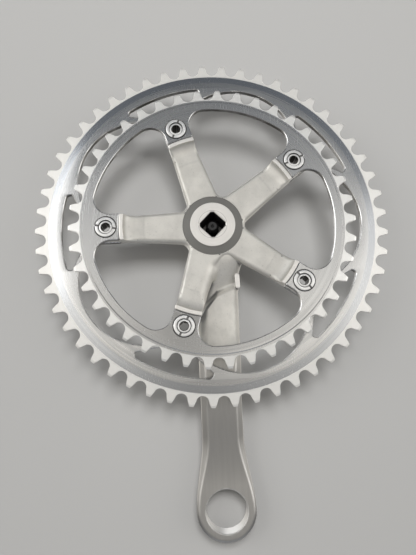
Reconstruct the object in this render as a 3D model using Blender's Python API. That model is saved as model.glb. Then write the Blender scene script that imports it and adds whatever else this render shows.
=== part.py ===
"""Right-hand crank of a road bicycle with two chainrings, as separate solid pieces.

Metres, +Z up. The crank axis is the Y axis. The origin is the centre of the
spindle socket's mouth, and +Y points away from the bicycle. The crank arm hangs
along -Z. Plan positions are (x, z) pairs, and depths are values of y.
"""

from math import asin, atan2, cos, pi, radians, sin, sqrt

import bmesh
import bpy
from mathutils import Vector

# Driving dimensions
CRANK_LENGTH = 0.170
HUB_DEPTH = 0.0265
BOLT_CIRCLE = 0.130
BOLT_COUNT = 5
ARM_TO_SPIDER = radians(18)
CHAIN_PITCH = 0.0127
ROLLER = 0.0079
OUTER_TEETH = 53
INNER_TEETH = 42
OUTER_PHASE = radians(2.4)
INNER_PHASE = radians(-0.5)

# Clearances
GAP = 0.0003
THREAD_GAP = 0.0003
HOLE_GAP = 0.0003
HOLE_OVERRUN = 0.002

# Chainrings
TOOTH_THICKNESS = 0.0021
TOOTH_RISE = 0.0028
TOOTH_TIP = 0.0016
RING_LIP = 0.0005
OUTER_RING_THICKNESS = 0.0035
INNER_RING_THICKNESS = 0.0032
OUTER_TOOTH_SETBACK = 0.0009
INNER_TOOTH_SETBACK = 0.0004
OUTER_BEVEL_WIDTH = 0.0043
OUTER_BEVEL_INSET = 0.0015
INNER_BEVEL_WIDTH = 0.0007
INNER_BEVEL_INSET = 0.0017
TAB_HALF_WIDTH = 0.0081
INNER_BAND_WIDTH = 0.0065
INNER_WINDOW_FILLET = 0.010
OUTER_BAND_WIDTH = 0.0099
OUTER_WINDOW_ARC = 0.040
OUTER_WINDOW_FILLET = 0.005
SLOT_HALF_ANGLE = radians(15.4)
SLOT_END_DROP = 0.0055
SLOT_LENGTH = 0.0163
SLOT_FLOOR_HALF_WIDTH = 0.0055
SLOT_FLOOR_CORNER = 0.0011

# Chainring bolts and sleeve nuts
SLEEVE_DIAMETER = 0.010
SLEEVE_HEAD_DIAMETER = 0.0125
SLEEVE_HEAD_THICKNESS = 0.0020
SLEEVE_HEAD_PROUD = 0.0005
RING_BOLT_DIAMETER = 0.0080
RING_BOLT_HEAD_DIAMETER = 0.0120
RING_BOLT_HEAD_THICKNESS = 0.0022
RING_BOLT_KEY = 0.0050
DRIVER_SLOT_WIDTH = 0.0012
DRIVER_SLOT_DEPTH = 0.0008

# Spider
SPIDER_TAB_THICKNESS = 0.0036
SPIDER_TAB_RISE = 0.0003
SPIDER_TAB_HALF_WIDTH = 0.0078
SHOULDER_RADIUS_INSET = 0.0079
SHOULDER_WIDTH = 0.0024
SHOULDER_SLOPE = 0.0042
SPIDER_HALF_WIDTH_END = 0.0082
SPIDER_HALF_WIDTH_HUB = 0.0102
SPIDER_HUB_FILLET = 0.006
SPIDER_FACE_END = 0.0011
SPIDER_FACE_HUB = 0.0025
SPIDER_BACK_HUB = 0.0120
SPIDER_BACK_MIDDLE = 0.0090
SPIDER_BACK_FILLET = 0.0040
SLOPE_KNEE_WIDTH = 0.0025
SLOPE_KNEE_RISE = 0.0014

# Hub
BOSS_RADIUS = 0.0139
BAND_RADIUS = 0.0187
BAND_STEP = 0.0007
BAND_DEPTH = 0.0029
HUB_RADIUS = 0.0172
HUB_EDGE = 0.0012
SOCKET_WIDTH = 0.0127
SOCKET_DEPTH = 0.0170
SOCKET_TAPER = radians(2)
SOCKET_CORNER = 0.0010
SOCKET_CHAMFER = 0.0006
EXTRACTOR_BORE = 0.0223

# Crank arm
ARM_HALF_WIDTH = 0.0124
ARM_FLAT_HALF_WIDTH = 0.0089
ARM_BACK_HALF_WIDTH = 0.0075
ARM_BEVEL_DEPTH = 0.0032
ARM_BACK_BEVEL_DEPTH = 0.0038
ARM_ROOT_FACE = 0.0095
ARM_BACK_AT_HUB = 0.0262
ARM_FLARE = 0.042
ARM_START = 0.002
ROOT_START = 0.018
ROOT_SINK = 0.0015
ROOT_LENGTH = 0.026
OFFSET_START = 0.080
OFFSET_END = 0.014
EYE_RADIUS = 0.0176
EYE_EDGE = 0.0012
EYE_BACK_EDGE = 0.0024
EYE_FACE = 0.0168
EYE_BACK = 0.0280
PEDAL_BORE = 0.0246
PEDAL_CHAMFER = 0.0009
END_SHARE = 0.05

# Crank bolt, washers and release cap
CRANK_BOLT_DIAMETER = 0.0080
CRANK_BOLT_TIP = 0.0055
CRANK_BOLT_TIP_CHAMFER = 0.0012
CRANK_BOLT_TIP_DEPTH = 0.0040
CRANK_BOLT_FLANGE = 0.0165
CRANK_BOLT_FLANGE_THICKNESS = 0.0020
CRANK_BOLT_HEAD = 0.0124
CRANK_BOLT_HEAD_LENGTH = 0.0038
CRANK_BOLT_KEY = 0.0060
CRANK_BOLT_KEY_DEPTH = 0.0045
WASHER_SIDE_GAP = 0.0021
WASHER_THICKNESS = 0.0015
FRICTION_WASHER_THICKNESS = 0.0006
BOLT_FLOAT = 0.0008
CAP_THICKNESS = 0.0028
CAP_PIN_HOLE = 0.0024
CAP_PIN_DEPTH = 0.0015

# Values worked out from the ones above
BOLT_RADIUS = BOLT_CIRCLE / 2
BOLT_STEP = 2 * pi / BOLT_COUNT
HALF_STEP = BOLT_STEP / 2
FIRST_BOLT = -pi / 2 - ARM_TO_SPIDER
TAB_FACE = -SPIDER_TAB_RISE
TAB_BACK = TAB_FACE + SPIDER_TAB_THICKNESS
INNER_RING_BACK = TAB_FACE - GAP
INNER_RING_FACE = INNER_RING_BACK - INNER_RING_THICKNESS
OUTER_RING_FACE = TAB_BACK + GAP
OUTER_RING_BACK = OUTER_RING_FACE + OUTER_RING_THICKNESS
SHOULDER_RADIUS = BOLT_RADIUS - SHOULDER_RADIUS_INSET
TAB_INNER_RADIUS = SHOULDER_RADIUS + GAP
NUT_FACE = INNER_RING_FACE - SLEEVE_HEAD_PROUD
NUT_SEAT = NUT_FACE + SLEEVE_HEAD_THICKNESS
BOLT_HEAD_BACK = OUTER_RING_BACK
BOLT_HEAD_SEAT = BOLT_HEAD_BACK - RING_BOLT_HEAD_THICKNESS
WASHER_FACE = SOCKET_DEPTH + GAP
FLANGE_FACE = WASHER_FACE + WASHER_THICKNESS + GAP
FLANGE_BACK = FLANGE_FACE + CRANK_BOLT_FLANGE_THICKNESS
FRICTION_WASHER_FACE = FLANGE_BACK + BOLT_FLOAT + GAP
CAP_FACE = FRICTION_WASHER_FACE + FRICTION_WASHER_THICKNESS + GAP

# Facets. The turn keeps facet edges off the corners of what is cut out.
FACET_TURN = radians(1.3)
RING_STEPS = 80
HUB_STEPS = 48
BORE_STEPS = 24
SMALL_STEPS = 16
PIN_STEPS = 12
KEY_SIDES = 6
SEAT_TURNS = [radians(turn) for turn in (64, 24, -24, -64)]
WINDOW_ARC_STEPS = 8
WINDOW_FILLET_STEPS = 5
TAB_EDGE_STEPS = 4
TAB_END_STEPS = 10
SLOT_ARC_STEPS = 5
SLOT_CORNER_STEPS = 4
SLOT_CORNER_START = radians(120)
HUB_FILLET_STEPS = 6
ROOT_SHARES = (0.25, 0.5, 0.75, 1)
OFFSET_SHARES = (0.2, 0.4, 0.5, 0.6, 0.7, 0.8, 0.9, 1)
EYE_TURNS = [radians(turn) for turn in (15, 30, 45, 60, 75, 90)]


def material(name, colour, metallic, roughness):
    """A plain Principled BSDF material."""
    made = bpy.data.materials.new(name)
    made.use_nodes = True
    shader = made.node_tree.nodes["Principled BSDF"]
    shader.inputs["Base Color"].default_value = (*colour, 1)
    shader.inputs["Metallic"].default_value = metallic
    shader.inputs["Roughness"].default_value = roughness
    made.diffuse_color = (*colour, 1)
    return made


def solid(name, mesh_maker, finish=None, sharp=radians(30)):
    """An object from a filled bmesh; without a finish it is a hidden cutter."""
    bm = bmesh.new()
    mesh_maker(bm)
    bmesh.ops.remove_doubles(bm, verts=bm.verts, dist=1e-7)
    bmesh.ops.recalc_face_normals(bm, faces=bm.faces)
    mesh = bpy.data.meshes.new(name)
    bm.to_mesh(mesh)
    bm.free()
    made = bpy.data.objects.new(name, mesh)
    bpy.context.scene.collection.objects.link(made)
    if finish is None:
        made.hide_render = True
        made.display_type = "WIRE"
    else:
        mesh.materials.append(finish)
        mesh.shade_smooth()
        mesh.set_sharp_from_angle(angle=sharp)
    return made


def boolean(target, tool, operation):
    """Adds a live exact Boolean of a hidden tool."""
    modifier = target.modifiers.new(f"{operation.lower()} {tool.name}", "BOOLEAN")
    modifier.operation = operation
    modifier.object = tool
    modifier.solver = "EXACT"


def add_prism(bm, outline, start, end):
    """Fills an outline of (x, z) points and extrudes it from depth start to end."""
    verts = [bm.verts.new((x, start, z)) for x, z in outline]
    face = bm.faces.new(verts)
    moved = bmesh.ops.extrude_face_region(bm, geom=[face])["geom"]
    top = [item for item in moved if isinstance(item, bmesh.types.BMVert)]
    bmesh.ops.translate(bm, verts=top, vec=(0, end - start, 0))


def add_turned(bm, profile, steps, centre=(0, 0)):
    """Spins a closed profile of (radius, depth) points about an axis along Y."""
    x, z = centre
    c, s = cos(FACET_TURN), sin(FACET_TURN)
    verts = [bm.verts.new((x + radius * c, depth, z + radius * s)) for radius, depth in profile]
    ends = list(zip(profile, profile[1:] + profile[:1]))
    pairs = zip(verts, verts[1:] + verts[:1])
    edges = [bm.edges.new(pair) for pair, (a, b) in zip(pairs, ends) if a[0] or b[0]]
    bmesh.ops.spin(
        bm,
        geom=verts + edges,
        cent=(x, 0, z),
        axis=(0, 1, 0),
        angle=2 * pi,
        steps=steps,
        use_merge=True,
    )


def polar(radius, angle):
    return radius * cos(angle), radius * sin(angle)


def arc(centre, radius, start, end, steps):
    """Points of an arc, both ends included."""
    x, z = centre
    turns = (start + (end - start) * i / steps for i in range(steps + 1))
    return [(x + radius * cos(turn), z + radius * sin(turn)) for turn in turns]


def turned_outline(outline, angle):
    """The outline, drawn about the +X direction, turned to the given angle."""
    c, s = cos(angle), sin(angle)
    return [(x * c - z * s, x * s + z * c) for x, z in outline]


def bolt_angles():
    return [FIRST_BOLT + BOLT_STEP * i for i in range(BOLT_COUNT)]


def mirrored(points):
    """The half outline followed by its mirror image across the X axis."""
    return points + [(x, -z) for x, z in reversed(points) if abs(z) > 1e-9]


def pitch_radius(teeth):
    return CHAIN_PITCH / (2 * sin(pi / teeth))


def tip_radius(teeth):
    return pitch_radius(teeth) + TOOTH_RISE


def root_radius(teeth):
    return pitch_radius(teeth) - ROLLER / 2


def tooth_outline(teeth, phase):
    """Roller seats on the pitch circle, joined by straight flanks and narrow tips."""
    outline = []
    half_tip = TOOTH_TIP / 2 / tip_radius(teeth)
    for tooth in range(teeth):
        middle = phase + 2 * pi * tooth / teeth
        outline.append(polar(tip_radius(teeth), middle - half_tip))
        outline.append(polar(tip_radius(teeth), middle + half_tip))
        gap = middle + pi / teeth
        x, z = polar(pitch_radius(teeth), gap)
        for turn in SEAT_TURNS:
            dx, dz = polar(ROLLER / 2, gap + pi + turn)
            outline.append((x + dx, z + dz))
    return outline


def window_outline(arc_radius, arc_centre, fillet):
    """The edge between two tabs, drawn about +X: one wide arc and two fillets."""
    across = TAB_HALF_WIDTH + fillet
    along = Vector((cos(HALF_STEP), sin(HALF_STEP)))
    inward = Vector((sin(HALF_STEP), -cos(HALF_STEP)))
    to_centre = across * inward - Vector((arc_centre, 0))
    half_b = to_centre.dot(along)
    root = half_b**2 - to_centre.length_squared + (arc_radius - fillet) ** 2
    fillet_centre = along * (sqrt(root) - half_b) + across * inward
    from_arc = fillet_centre - Vector((arc_centre, 0))
    touch = atan2(from_arc.y, from_arc.x)
    side = atan2(-inward.y, -inward.x)
    start = along * sqrt(TAB_INNER_RADIUS**2 - TAB_HALF_WIDTH**2) + TAB_HALF_WIDTH * inward
    half = [(start.x, start.y)]
    half += arc(tuple(fillet_centre), fillet, side, touch, WINDOW_FILLET_STEPS)
    half += arc((arc_centre, 0), arc_radius, touch, 0, WINDOW_ARC_STEPS)[1:]
    return mirrored(half)


def ring_opening(window):
    """One closed outline: the window edge repeated, joined by the tabs' inner arcs."""
    half_tab = asin(TAB_HALF_WIDTH / TAB_INNER_RADIUS)
    tab_edge = arc((0, 0), TAB_INNER_RADIUS, -half_tab, half_tab, TAB_EDGE_STEPS)[1:-1]
    outline = []
    for angle in bolt_angles():
        outline += turned_outline(tab_edge, angle)
        outline += turned_outline(reversed(window), angle + HALF_STEP)
    return outline


def slot_outline():
    """The slot outside a bolt tab, drawn about +X, with slanted sides."""
    outer = root_radius(OUTER_TEETH) - OUTER_BAND_WIDTH
    floor = outer - SLOT_LENGTH
    corner = SLOT_END_DROP / 2
    turn = SLOT_HALF_ANGLE - corner / outer
    centre = polar(outer - corner, turn)
    half = [(floor, SLOT_FLOOR_HALF_WIDTH - SLOT_FLOOR_CORNER)]
    half += [(floor + SLOT_FLOOR_CORNER, SLOT_FLOOR_HALF_WIDTH)]
    half += arc(centre, corner, SLOT_CORNER_START, turn, SLOT_CORNER_STEPS)
    half += arc((0, 0), outer, turn, 0, SLOT_ARC_STEPS)[1:]
    return mirrored(half)


def cut_repeated(target, name, outline, angles, start, end):
    """Cuts one outline through the target at each of the angles."""

    def build(bm):
        for angle in angles:
            add_prism(bm, turned_outline(outline, angle), start, end)

    boolean(target, solid(name, build), "DIFFERENCE")


def cut_turned(target, name, profile, steps, centres):
    """Cuts one turned shape out of the target at each of the centres."""

    def build(bm):
        for centre in centres:
            add_turned(bm, profile, steps, centre)

    boolean(target, solid(name, build), "DIFFERENCE")


def bolt_centres():
    return [polar(BOLT_RADIUS, angle) for angle in bolt_angles()]


def ring_blank(name, teeth, phase, tooth_face, profile, window, finish):
    """The toothed plate joined to its thicker turned body, opened for the spider."""
    plate_back = tooth_face + TOOTH_THICKNESS
    outline = tooth_outline(teeth, phase)
    ring = solid(name, lambda bm: add_prism(bm, outline, tooth_face, plate_back), finish)
    body = solid(f"{name}_body", lambda bm: add_turned(bm, profile, RING_STEPS))
    boolean(ring, body, "UNION")
    start = INNER_RING_FACE - HOLE_OVERRUN
    end = OUTER_RING_BACK + HOLE_OVERRUN
    cut_repeated(ring, f"{name}_opening", ring_opening(window), [0], start, end)
    return ring


def outer_chainring(finish):
    """The large ring, outside the spider: slots at its tabs and arched windows."""
    inside = TAB_INNER_RADIUS - RING_LIP
    edge = root_radius(OUTER_TEETH) - OUTER_BEVEL_INSET
    tooth_face = OUTER_RING_FACE + OUTER_TOOTH_SETBACK
    sunk = tooth_face + TOOTH_THICKNESS / 4
    back = OUTER_RING_BACK
    profile = [
        (inside, OUTER_RING_FACE),
        (edge - OUTER_BEVEL_WIDTH, OUTER_RING_FACE),
        (edge, sunk),
        (edge, back - OUTER_RING_THICKNESS / 4),
        (edge - OUTER_BEVEL_WIDTH / 2, back),
        (inside, back),
    ]
    centre = root_radius(OUTER_TEETH) - OUTER_BAND_WIDTH - OUTER_WINDOW_ARC
    window = window_outline(OUTER_WINDOW_ARC, centre, OUTER_WINDOW_FILLET)
    name = "outer_chainring_53t"
    ring = ring_blank(name, OUTER_TEETH, OUTER_PHASE, tooth_face, profile, window, finish)
    start = OUTER_RING_FACE - HOLE_OVERRUN
    end = OUTER_RING_BACK + HOLE_OVERRUN
    cut_repeated(ring, "outer_slots", slot_outline(), bolt_angles(), start, end)
    hole = SLEEVE_DIAMETER / 2 + HOLE_GAP
    seat = RING_BOLT_HEAD_DIAMETER / 2 + HOLE_GAP
    holes = [(0, start), (hole, start), (hole, BOLT_HEAD_SEAT - GAP), (seat, BOLT_HEAD_SEAT - GAP)]
    holes += [(seat, end), (0, end)]
    cut_turned(ring, "outer_ring_holes", holes, SMALL_STEPS, bolt_centres())
    return ring


def inner_chainring(finish):
    """The small ring, inside the spider: one wide rounded window between tabs."""
    inside = TAB_INNER_RADIUS - RING_LIP
    edge = root_radius(INNER_TEETH) - INNER_BEVEL_INSET
    tooth_face = INNER_RING_FACE + INNER_TOOTH_SETBACK
    profile = [
        (inside, INNER_RING_FACE),
        (edge - INNER_BEVEL_WIDTH, INNER_RING_FACE),
        (edge, tooth_face + TOOTH_THICKNESS / 4),
        (edge, INNER_RING_BACK - TOOTH_THICKNESS / 4),
        (edge - INNER_BEVEL_WIDTH, INNER_RING_BACK),
        (inside, INNER_RING_BACK),
    ]
    band = root_radius(INNER_TEETH) - INNER_BAND_WIDTH
    window = window_outline(band, 0, INNER_WINDOW_FILLET)
    name = "inner_chainring_42t"
    ring = ring_blank(name, INNER_TEETH, INNER_PHASE, tooth_face, profile, window, finish)
    start = INNER_RING_FACE - HOLE_OVERRUN
    end = INNER_RING_BACK + HOLE_OVERRUN
    hole = SLEEVE_DIAMETER / 2 + HOLE_GAP
    seat = SLEEVE_HEAD_DIAMETER / 2 + HOLE_GAP
    holes = [(0, start), (seat, start), (seat, NUT_SEAT + GAP), (hole, NUT_SEAT + GAP)]
    holes += [(hole, end), (0, end)]
    cut_turned(ring, "inner_ring_holes", holes, SMALL_STEPS, bolt_centres())
    return ring


def spider_outline():
    """Five tapering arms with round ends, joined by fillets near the hub."""
    narrow = SPIDER_HALF_WIDTH_END
    wide = SPIDER_HALF_WIDTH_HUB
    tab = SPIDER_TAB_HALF_WIDTH
    corner = (wide + SPIDER_HUB_FILLET) / sin(HALF_STEP)
    start = corner * cos(HALF_STEP)
    outline = []
    for angle in bolt_angles():
        side = [(start, -wide), (SHOULDER_RADIUS - SHOULDER_SLOPE - SHOULDER_WIDTH, -narrow)]
        side += [(SHOULDER_RADIUS, -narrow), (SHOULDER_RADIUS, -tab)]
        end = arc((BOLT_RADIUS, 0), tab, -pi / 2, pi / 2, TAB_END_STEPS)
        arm = side + end + [(x, -z) for x, z in reversed(side)]
        outline += turned_outline(arm, angle)
        middle = angle + HALF_STEP
        centre = polar(corner, middle)
        first = middle + pi + (pi / 2 - HALF_STEP)
        last = middle + pi - (pi / 2 - HALF_STEP)
        outline += arc(centre, SPIDER_HUB_FILLET, first, last, HUB_FILLET_STEPS)[1:-1]
    return outline


def spider_profile():
    """The turned form of hub and spider: boss, band, arm face, shoulders and seats."""
    slope = SHOULDER_RADIUS - SHOULDER_WIDTH
    foot = slope - SHOULDER_SLOPE
    inner_shoulder = INNER_RING_FACE + GAP
    outer_shoulder = OUTER_RING_BACK - GAP
    rim = BOLT_RADIUS + SPIDER_TAB_HALF_WIDTH + GAP
    middle = (HUB_RADIUS + foot) / 2
    return [
        (0, 0),
        (BOSS_RADIUS, 0),
        (BOSS_RADIUS, BAND_STEP),
        (BAND_RADIUS, BAND_DEPTH),
        (BAND_RADIUS + BAND_STEP, SPIDER_FACE_HUB),
        (foot, SPIDER_FACE_END),
        (foot + SLOPE_KNEE_WIDTH, SPIDER_FACE_END - SLOPE_KNEE_RISE),
        (slope, inner_shoulder),
        (SHOULDER_RADIUS, inner_shoulder),
        (SHOULDER_RADIUS, TAB_FACE),
        (rim, TAB_FACE),
        (rim, TAB_BACK),
        (SHOULDER_RADIUS, TAB_BACK),
        (SHOULDER_RADIUS, outer_shoulder),
        (slope, outer_shoulder),
        (middle, SPIDER_BACK_MIDDLE),
        (HUB_RADIUS + SPIDER_BACK_FILLET, SPIDER_BACK_HUB),
        (HUB_RADIUS, SPIDER_BACK_HUB + SPIDER_BACK_FILLET),
        (HUB_RADIUS, HUB_DEPTH - HUB_EDGE),
        (HUB_RADIUS - HUB_EDGE, HUB_DEPTH),
        (0, HUB_DEPTH),
    ]


def eased(share):
    """A smooth step from 0 to 1."""
    share = min(max(share, 0), 1)
    return share * share * (3 - 2 * share)


def between(first, last, share):
    return first + (last - first) * share


def arm_section(drop):
    """The (x, y) section of the arm at a distance below the crank axis."""
    flare = eased((drop - CRANK_LENGTH + ARM_FLARE) / ARM_FLARE)
    past_eye = max(drop - CRANK_LENGTH, 0) / EYE_RADIUS
    shrink = sqrt(max(1 - past_eye**2, END_SHARE**2))
    side = between(ARM_HALF_WIDTH, EYE_RADIUS, flare) * shrink
    flat = between(ARM_FLAT_HALF_WIDTH, EYE_RADIUS - EYE_EDGE, flare) * shrink
    back_flat = between(ARM_BACK_HALF_WIDTH, EYE_RADIUS - EYE_BACK_EDGE, flare) * shrink
    bevel = between(ARM_BEVEL_DEPTH, EYE_EDGE, flare)
    back_bevel = between(ARM_BACK_BEVEL_DEPTH, EYE_BACK_EDGE, flare)
    root = eased((drop - ROOT_START) / ROOT_LENGTH)
    offset = eased((drop - OFFSET_START) / (CRANK_LENGTH - OFFSET_END - OFFSET_START))
    face = between(SPIDER_FACE_HUB + ROOT_SINK, ARM_ROOT_FACE, root)
    face += (EYE_FACE - ARM_ROOT_FACE) * offset
    back = between(ARM_BACK_AT_HUB, EYE_BACK, min(drop / CRANK_LENGTH, 1))
    half = [(flat, face), (side, face + bevel), (side, back - back_bevel), (back_flat, back)]
    return half + [(-x, y) for x, y in reversed(half)]


def arm_drops():
    """Distances below the axis at which the arm has a section."""
    straight = [ARM_START, ROOT_START]
    straight += [ROOT_START + ROOT_LENGTH * share for share in ROOT_SHARES]
    straight += [OFFSET_START]
    length = CRANK_LENGTH - OFFSET_START
    straight += [OFFSET_START + length * share for share in OFFSET_SHARES]
    return straight + [CRANK_LENGTH + EYE_RADIUS * sin(turn) for turn in EYE_TURNS]


def add_loft(bm, sections):
    """Skins a list of equally long rings of points and closes both ends."""
    rings = [[bm.verts.new(point) for point in section] for section in sections]
    for first, second in zip(rings, rings[1:]):
        for i in range(len(first)):
            j = (i + 1) % len(first)
            bm.faces.new((first[i], first[j], second[j], second[i]))
    bm.faces.new(rings[0])
    bm.faces.new(reversed(rings[-1]))


def add_arm(bm):
    sections = [[(x, y, -drop) for x, y in arm_section(drop)] for drop in arm_drops()]
    add_loft(bm, sections)


def root_web_outline():
    """Fills the space between the arm and the spider arm beside it."""
    angle = bolt_angles()[0]
    near = HUB_RADIUS
    far = SHOULDER_RADIUS - SHOULDER_SLOPE
    edge = SPIDER_HALF_WIDTH_END - GAP
    first = turned_outline([(near, edge), (far, edge)], angle)
    left = GAP - ARM_HALF_WIDTH
    return first + [(left, first[1][1]), (left, -near)]


def add_socket(bm):
    """The tapered square for the spindle, on its corners, with narrow flats on them."""
    half = SOCKET_WIDTH / 2
    rings = []
    for depth in (-HOLE_OVERRUN, SOCKET_DEPTH + HOLE_OVERRUN):
        side = half - depth * sin(SOCKET_TAPER)
        cut = side - SOCKET_CORNER
        square = [(side, -cut), (side, cut), (cut, side), (-cut, side)]
        square += [(-side, cut), (-side, -cut), (-cut, -side), (cut, -side)]
        rings.append([(x, depth, z) for x, z in turned_outline(square, pi / 4)])
    add_loft(bm, rings)


def crank_arm(finish):
    """One forging: hub, spider, arm and pedal eye, with its machined holes."""
    outline = spider_outline()
    start = INNER_RING_FACE - HOLE_OVERRUN
    end = HUB_DEPTH + HOLE_OVERRUN
    arm = solid("crank_arm", lambda bm: add_prism(bm, outline, start, end), finish)
    turned = solid("hub_and_spider_form", lambda bm: add_turned(bm, spider_profile(), HUB_STEPS))
    boolean(arm, turned, "INTERSECT")
    boolean(arm, solid("arm_form", add_arm), "UNION")
    web = root_web_outline()
    web_start = SPIDER_FACE_HUB + 2 * GAP
    web_end = ARM_ROOT_FACE + 2 * ARM_BEVEL_DEPTH
    filler = solid("root_web", lambda bm: add_prism(bm, web, web_start, web_end))
    boolean(arm, filler, "UNION")
    boolean(arm, solid("spindle_socket", add_socket), "DIFFERENCE")
    bore = EXTRACTOR_BORE / 2
    profile = [(0, SOCKET_DEPTH), (bore, SOCKET_DEPTH), (bore, end), (0, end)]
    cut_turned(arm, "extractor_bore", profile, BORE_STEPS, [(0, 0)])
    corner = (SOCKET_WIDTH / 2 - SOCKET_CORNER / 2) * sqrt(2)
    chamfer = [(0, -HOLE_OVERRUN), (corner + HOLE_OVERRUN + SOCKET_CHAMFER, -HOLE_OVERRUN)]
    chamfer += [(corner, SOCKET_CHAMFER), (0, SOCKET_CHAMFER)]
    cut_turned(arm, "socket_chamfer", chamfer, BORE_STEPS, [(0, 0)])
    cut_turned(arm, "pedal_bore", pedal_bore_profile(), BORE_STEPS, [(0, -CRANK_LENGTH)])
    hole = SLEEVE_DIAMETER / 2 + HOLE_GAP
    holes = [(0, start), (hole, start), (hole, OUTER_RING_BACK), (0, OUTER_RING_BACK)]
    cut_turned(arm, "spider_holes", holes, SMALL_STEPS, bolt_centres())
    return arm


def pedal_bore_profile():
    bore = PEDAL_BORE / 2
    wide = bore + PEDAL_CHAMFER + HOLE_OVERRUN
    return [
        (0, EYE_FACE - HOLE_OVERRUN),
        (wide, EYE_FACE - HOLE_OVERRUN),
        (bore, EYE_FACE + PEDAL_CHAMFER),
        (bore, EYE_BACK - PEDAL_CHAMFER),
        (wide, EYE_BACK + HOLE_OVERRUN),
        (0, EYE_BACK + HOLE_OVERRUN),
    ]


def hexagon(across_flats):
    return [polar(across_flats / sqrt(3), 2 * pi * i / KEY_SIDES) for i in range(KEY_SIDES)]


def sleeve_nut(finish):
    """A slotted sleeve nut for one chainring bolt, on its own axis."""
    bore = RING_BOLT_DIAMETER / 2 + THREAD_GAP
    sleeve = SLEEVE_DIAMETER / 2
    head = SLEEVE_HEAD_DIAMETER / 2
    end = BOLT_HEAD_SEAT - 2 * GAP
    profile = [(bore, NUT_FACE), (head, NUT_FACE), (head, NUT_SEAT), (sleeve, NUT_SEAT)]
    profile += [(sleeve, end), (bore, end)]
    nut = solid("chainring_nut_1", lambda bm: add_turned(bm, profile, SMALL_STEPS), finish)
    half = DRIVER_SLOT_WIDTH / 2
    reach = head + HOLE_OVERRUN
    outline = [(-reach, -half), (reach, -half), (reach, half), (-reach, half)]
    cut_repeated(nut, "driver_slot", outline, [pi / 4], NUT_FACE - GAP, NUT_FACE + DRIVER_SLOT_DEPTH)
    return nut


def ring_bolt(finish):
    """A chainring bolt with its key socket right through, on its own axis."""
    shank = RING_BOLT_DIAMETER / 2
    head = RING_BOLT_HEAD_DIAMETER / 2
    tip = NUT_FACE + DRIVER_SLOT_DEPTH
    profile = [(0, tip), (shank, tip), (shank, BOLT_HEAD_SEAT), (head, BOLT_HEAD_SEAT)]
    profile += [(head, BOLT_HEAD_BACK), (0, BOLT_HEAD_BACK)]
    bolt = solid("chainring_bolt_1", lambda bm: add_turned(bm, profile, SMALL_STEPS), finish)
    key = hexagon(RING_BOLT_KEY)
    cut_repeated(bolt, "ring_bolt_key", key, [0], tip - GAP, BOLT_HEAD_BACK + GAP)
    return bolt


def baked(made):
    """Gives the object its finished mesh, so that its copies can share it."""
    bpy.context.view_layer.update()
    graph = bpy.context.evaluated_depsgraph_get()
    mesh = bpy.data.meshes.new_from_object(made.evaluated_get(graph))
    tools = [modifier.object for modifier in made.modifiers]
    made.modifiers.clear()
    made.data = mesh
    for tool in tools:
        bpy.data.objects.remove(tool, do_unlink=True)
    return made


def place_in_holes(first, name):
    """Puts one fastener in each hole of the bolt circle; the copies share its mesh."""
    for number, (x, z) in enumerate(bolt_centres(), 1):
        placed = first
        if number > 1:
            placed = bpy.data.objects.new(name, first.data)
            bpy.context.scene.collection.objects.link(placed)
        placed.name = f"{name}_{number}"
        placed.location = (x, 0, z)
        placed.rotation_euler = (0, -bolt_angles()[number - 1], 0)


def crank_bolt(finish):
    """The captive bolt that holds the crank on its spindle."""
    shank = CRANK_BOLT_DIAMETER / 2
    flange = CRANK_BOLT_FLANGE / 2
    head = CRANK_BOLT_HEAD / 2
    end = FLANGE_BACK + CRANK_BOLT_HEAD_LENGTH
    profile = [
        (0, CRANK_BOLT_TIP_DEPTH),
        (CRANK_BOLT_TIP / 2, CRANK_BOLT_TIP_DEPTH),
        (shank, CRANK_BOLT_TIP_DEPTH + CRANK_BOLT_TIP_CHAMFER),
        (shank, FLANGE_FACE),
        (flange, FLANGE_FACE),
        (flange, FLANGE_BACK),
        (head, FLANGE_BACK),
        (head, end),
        (0, end),
    ]
    bolt = solid("crank_bolt", lambda bm: add_turned(bm, profile, BORE_STEPS), finish)
    key = hexagon(CRANK_BOLT_KEY)
    cut_repeated(bolt, "crank_bolt_key", key, [0], end - CRANK_BOLT_KEY_DEPTH, end + GAP)


def ring_shape(name, inner, outer, face, back, finish):
    """A plain flat ring on the crank axis."""
    profile = [(inner, face), (outer, face), (outer, back), (inner, back)]
    return solid(name, lambda bm: add_turned(bm, profile, BORE_STEPS), finish)


def bolt_washers(steel, nylon):
    """The washer under the bolt's flange and the friction washer over it."""
    hole = CRANK_BOLT_DIAMETER / 2 + GAP
    back = WASHER_FACE + WASHER_THICKNESS
    outer = EXTRACTOR_BORE / 2 - WASHER_SIDE_GAP
    ring_shape("crank_bolt_washer", hole, outer, WASHER_FACE, back, steel)
    clear = CRANK_BOLT_HEAD / 2 + GAP
    back = FRICTION_WASHER_FACE + FRICTION_WASHER_THICKNESS
    outer = CRANK_BOLT_FLANGE / 2 + GAP
    ring_shape("friction_washer", clear, outer, FRICTION_WASHER_FACE, back, nylon)


def release_cap(finish):
    """The threaded ring that the bolt pushes against to draw the crank off."""
    clear = CRANK_BOLT_HEAD / 2 + GAP
    outer = EXTRACTOR_BORE / 2 - THREAD_GAP
    back = CAP_FACE + CAP_THICKNESS
    cap = ring_shape("release_cap", clear, outer, CAP_FACE, back, finish)
    pin = CAP_PIN_HOLE / 2
    start = back - CAP_PIN_DEPTH
    profile = [(0, start), (pin, start), (pin, back + GAP), (0, back + GAP)]
    middle = (clear + outer) / 2
    centres = [(middle, 0), (-middle, 0)]
    cut_turned(cap, "cap_pin_holes", profile, PIN_STEPS, centres)


def clear_scene():
    for item in list(bpy.data.objects):
        bpy.data.objects.remove(item, do_unlink=True)


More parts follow.
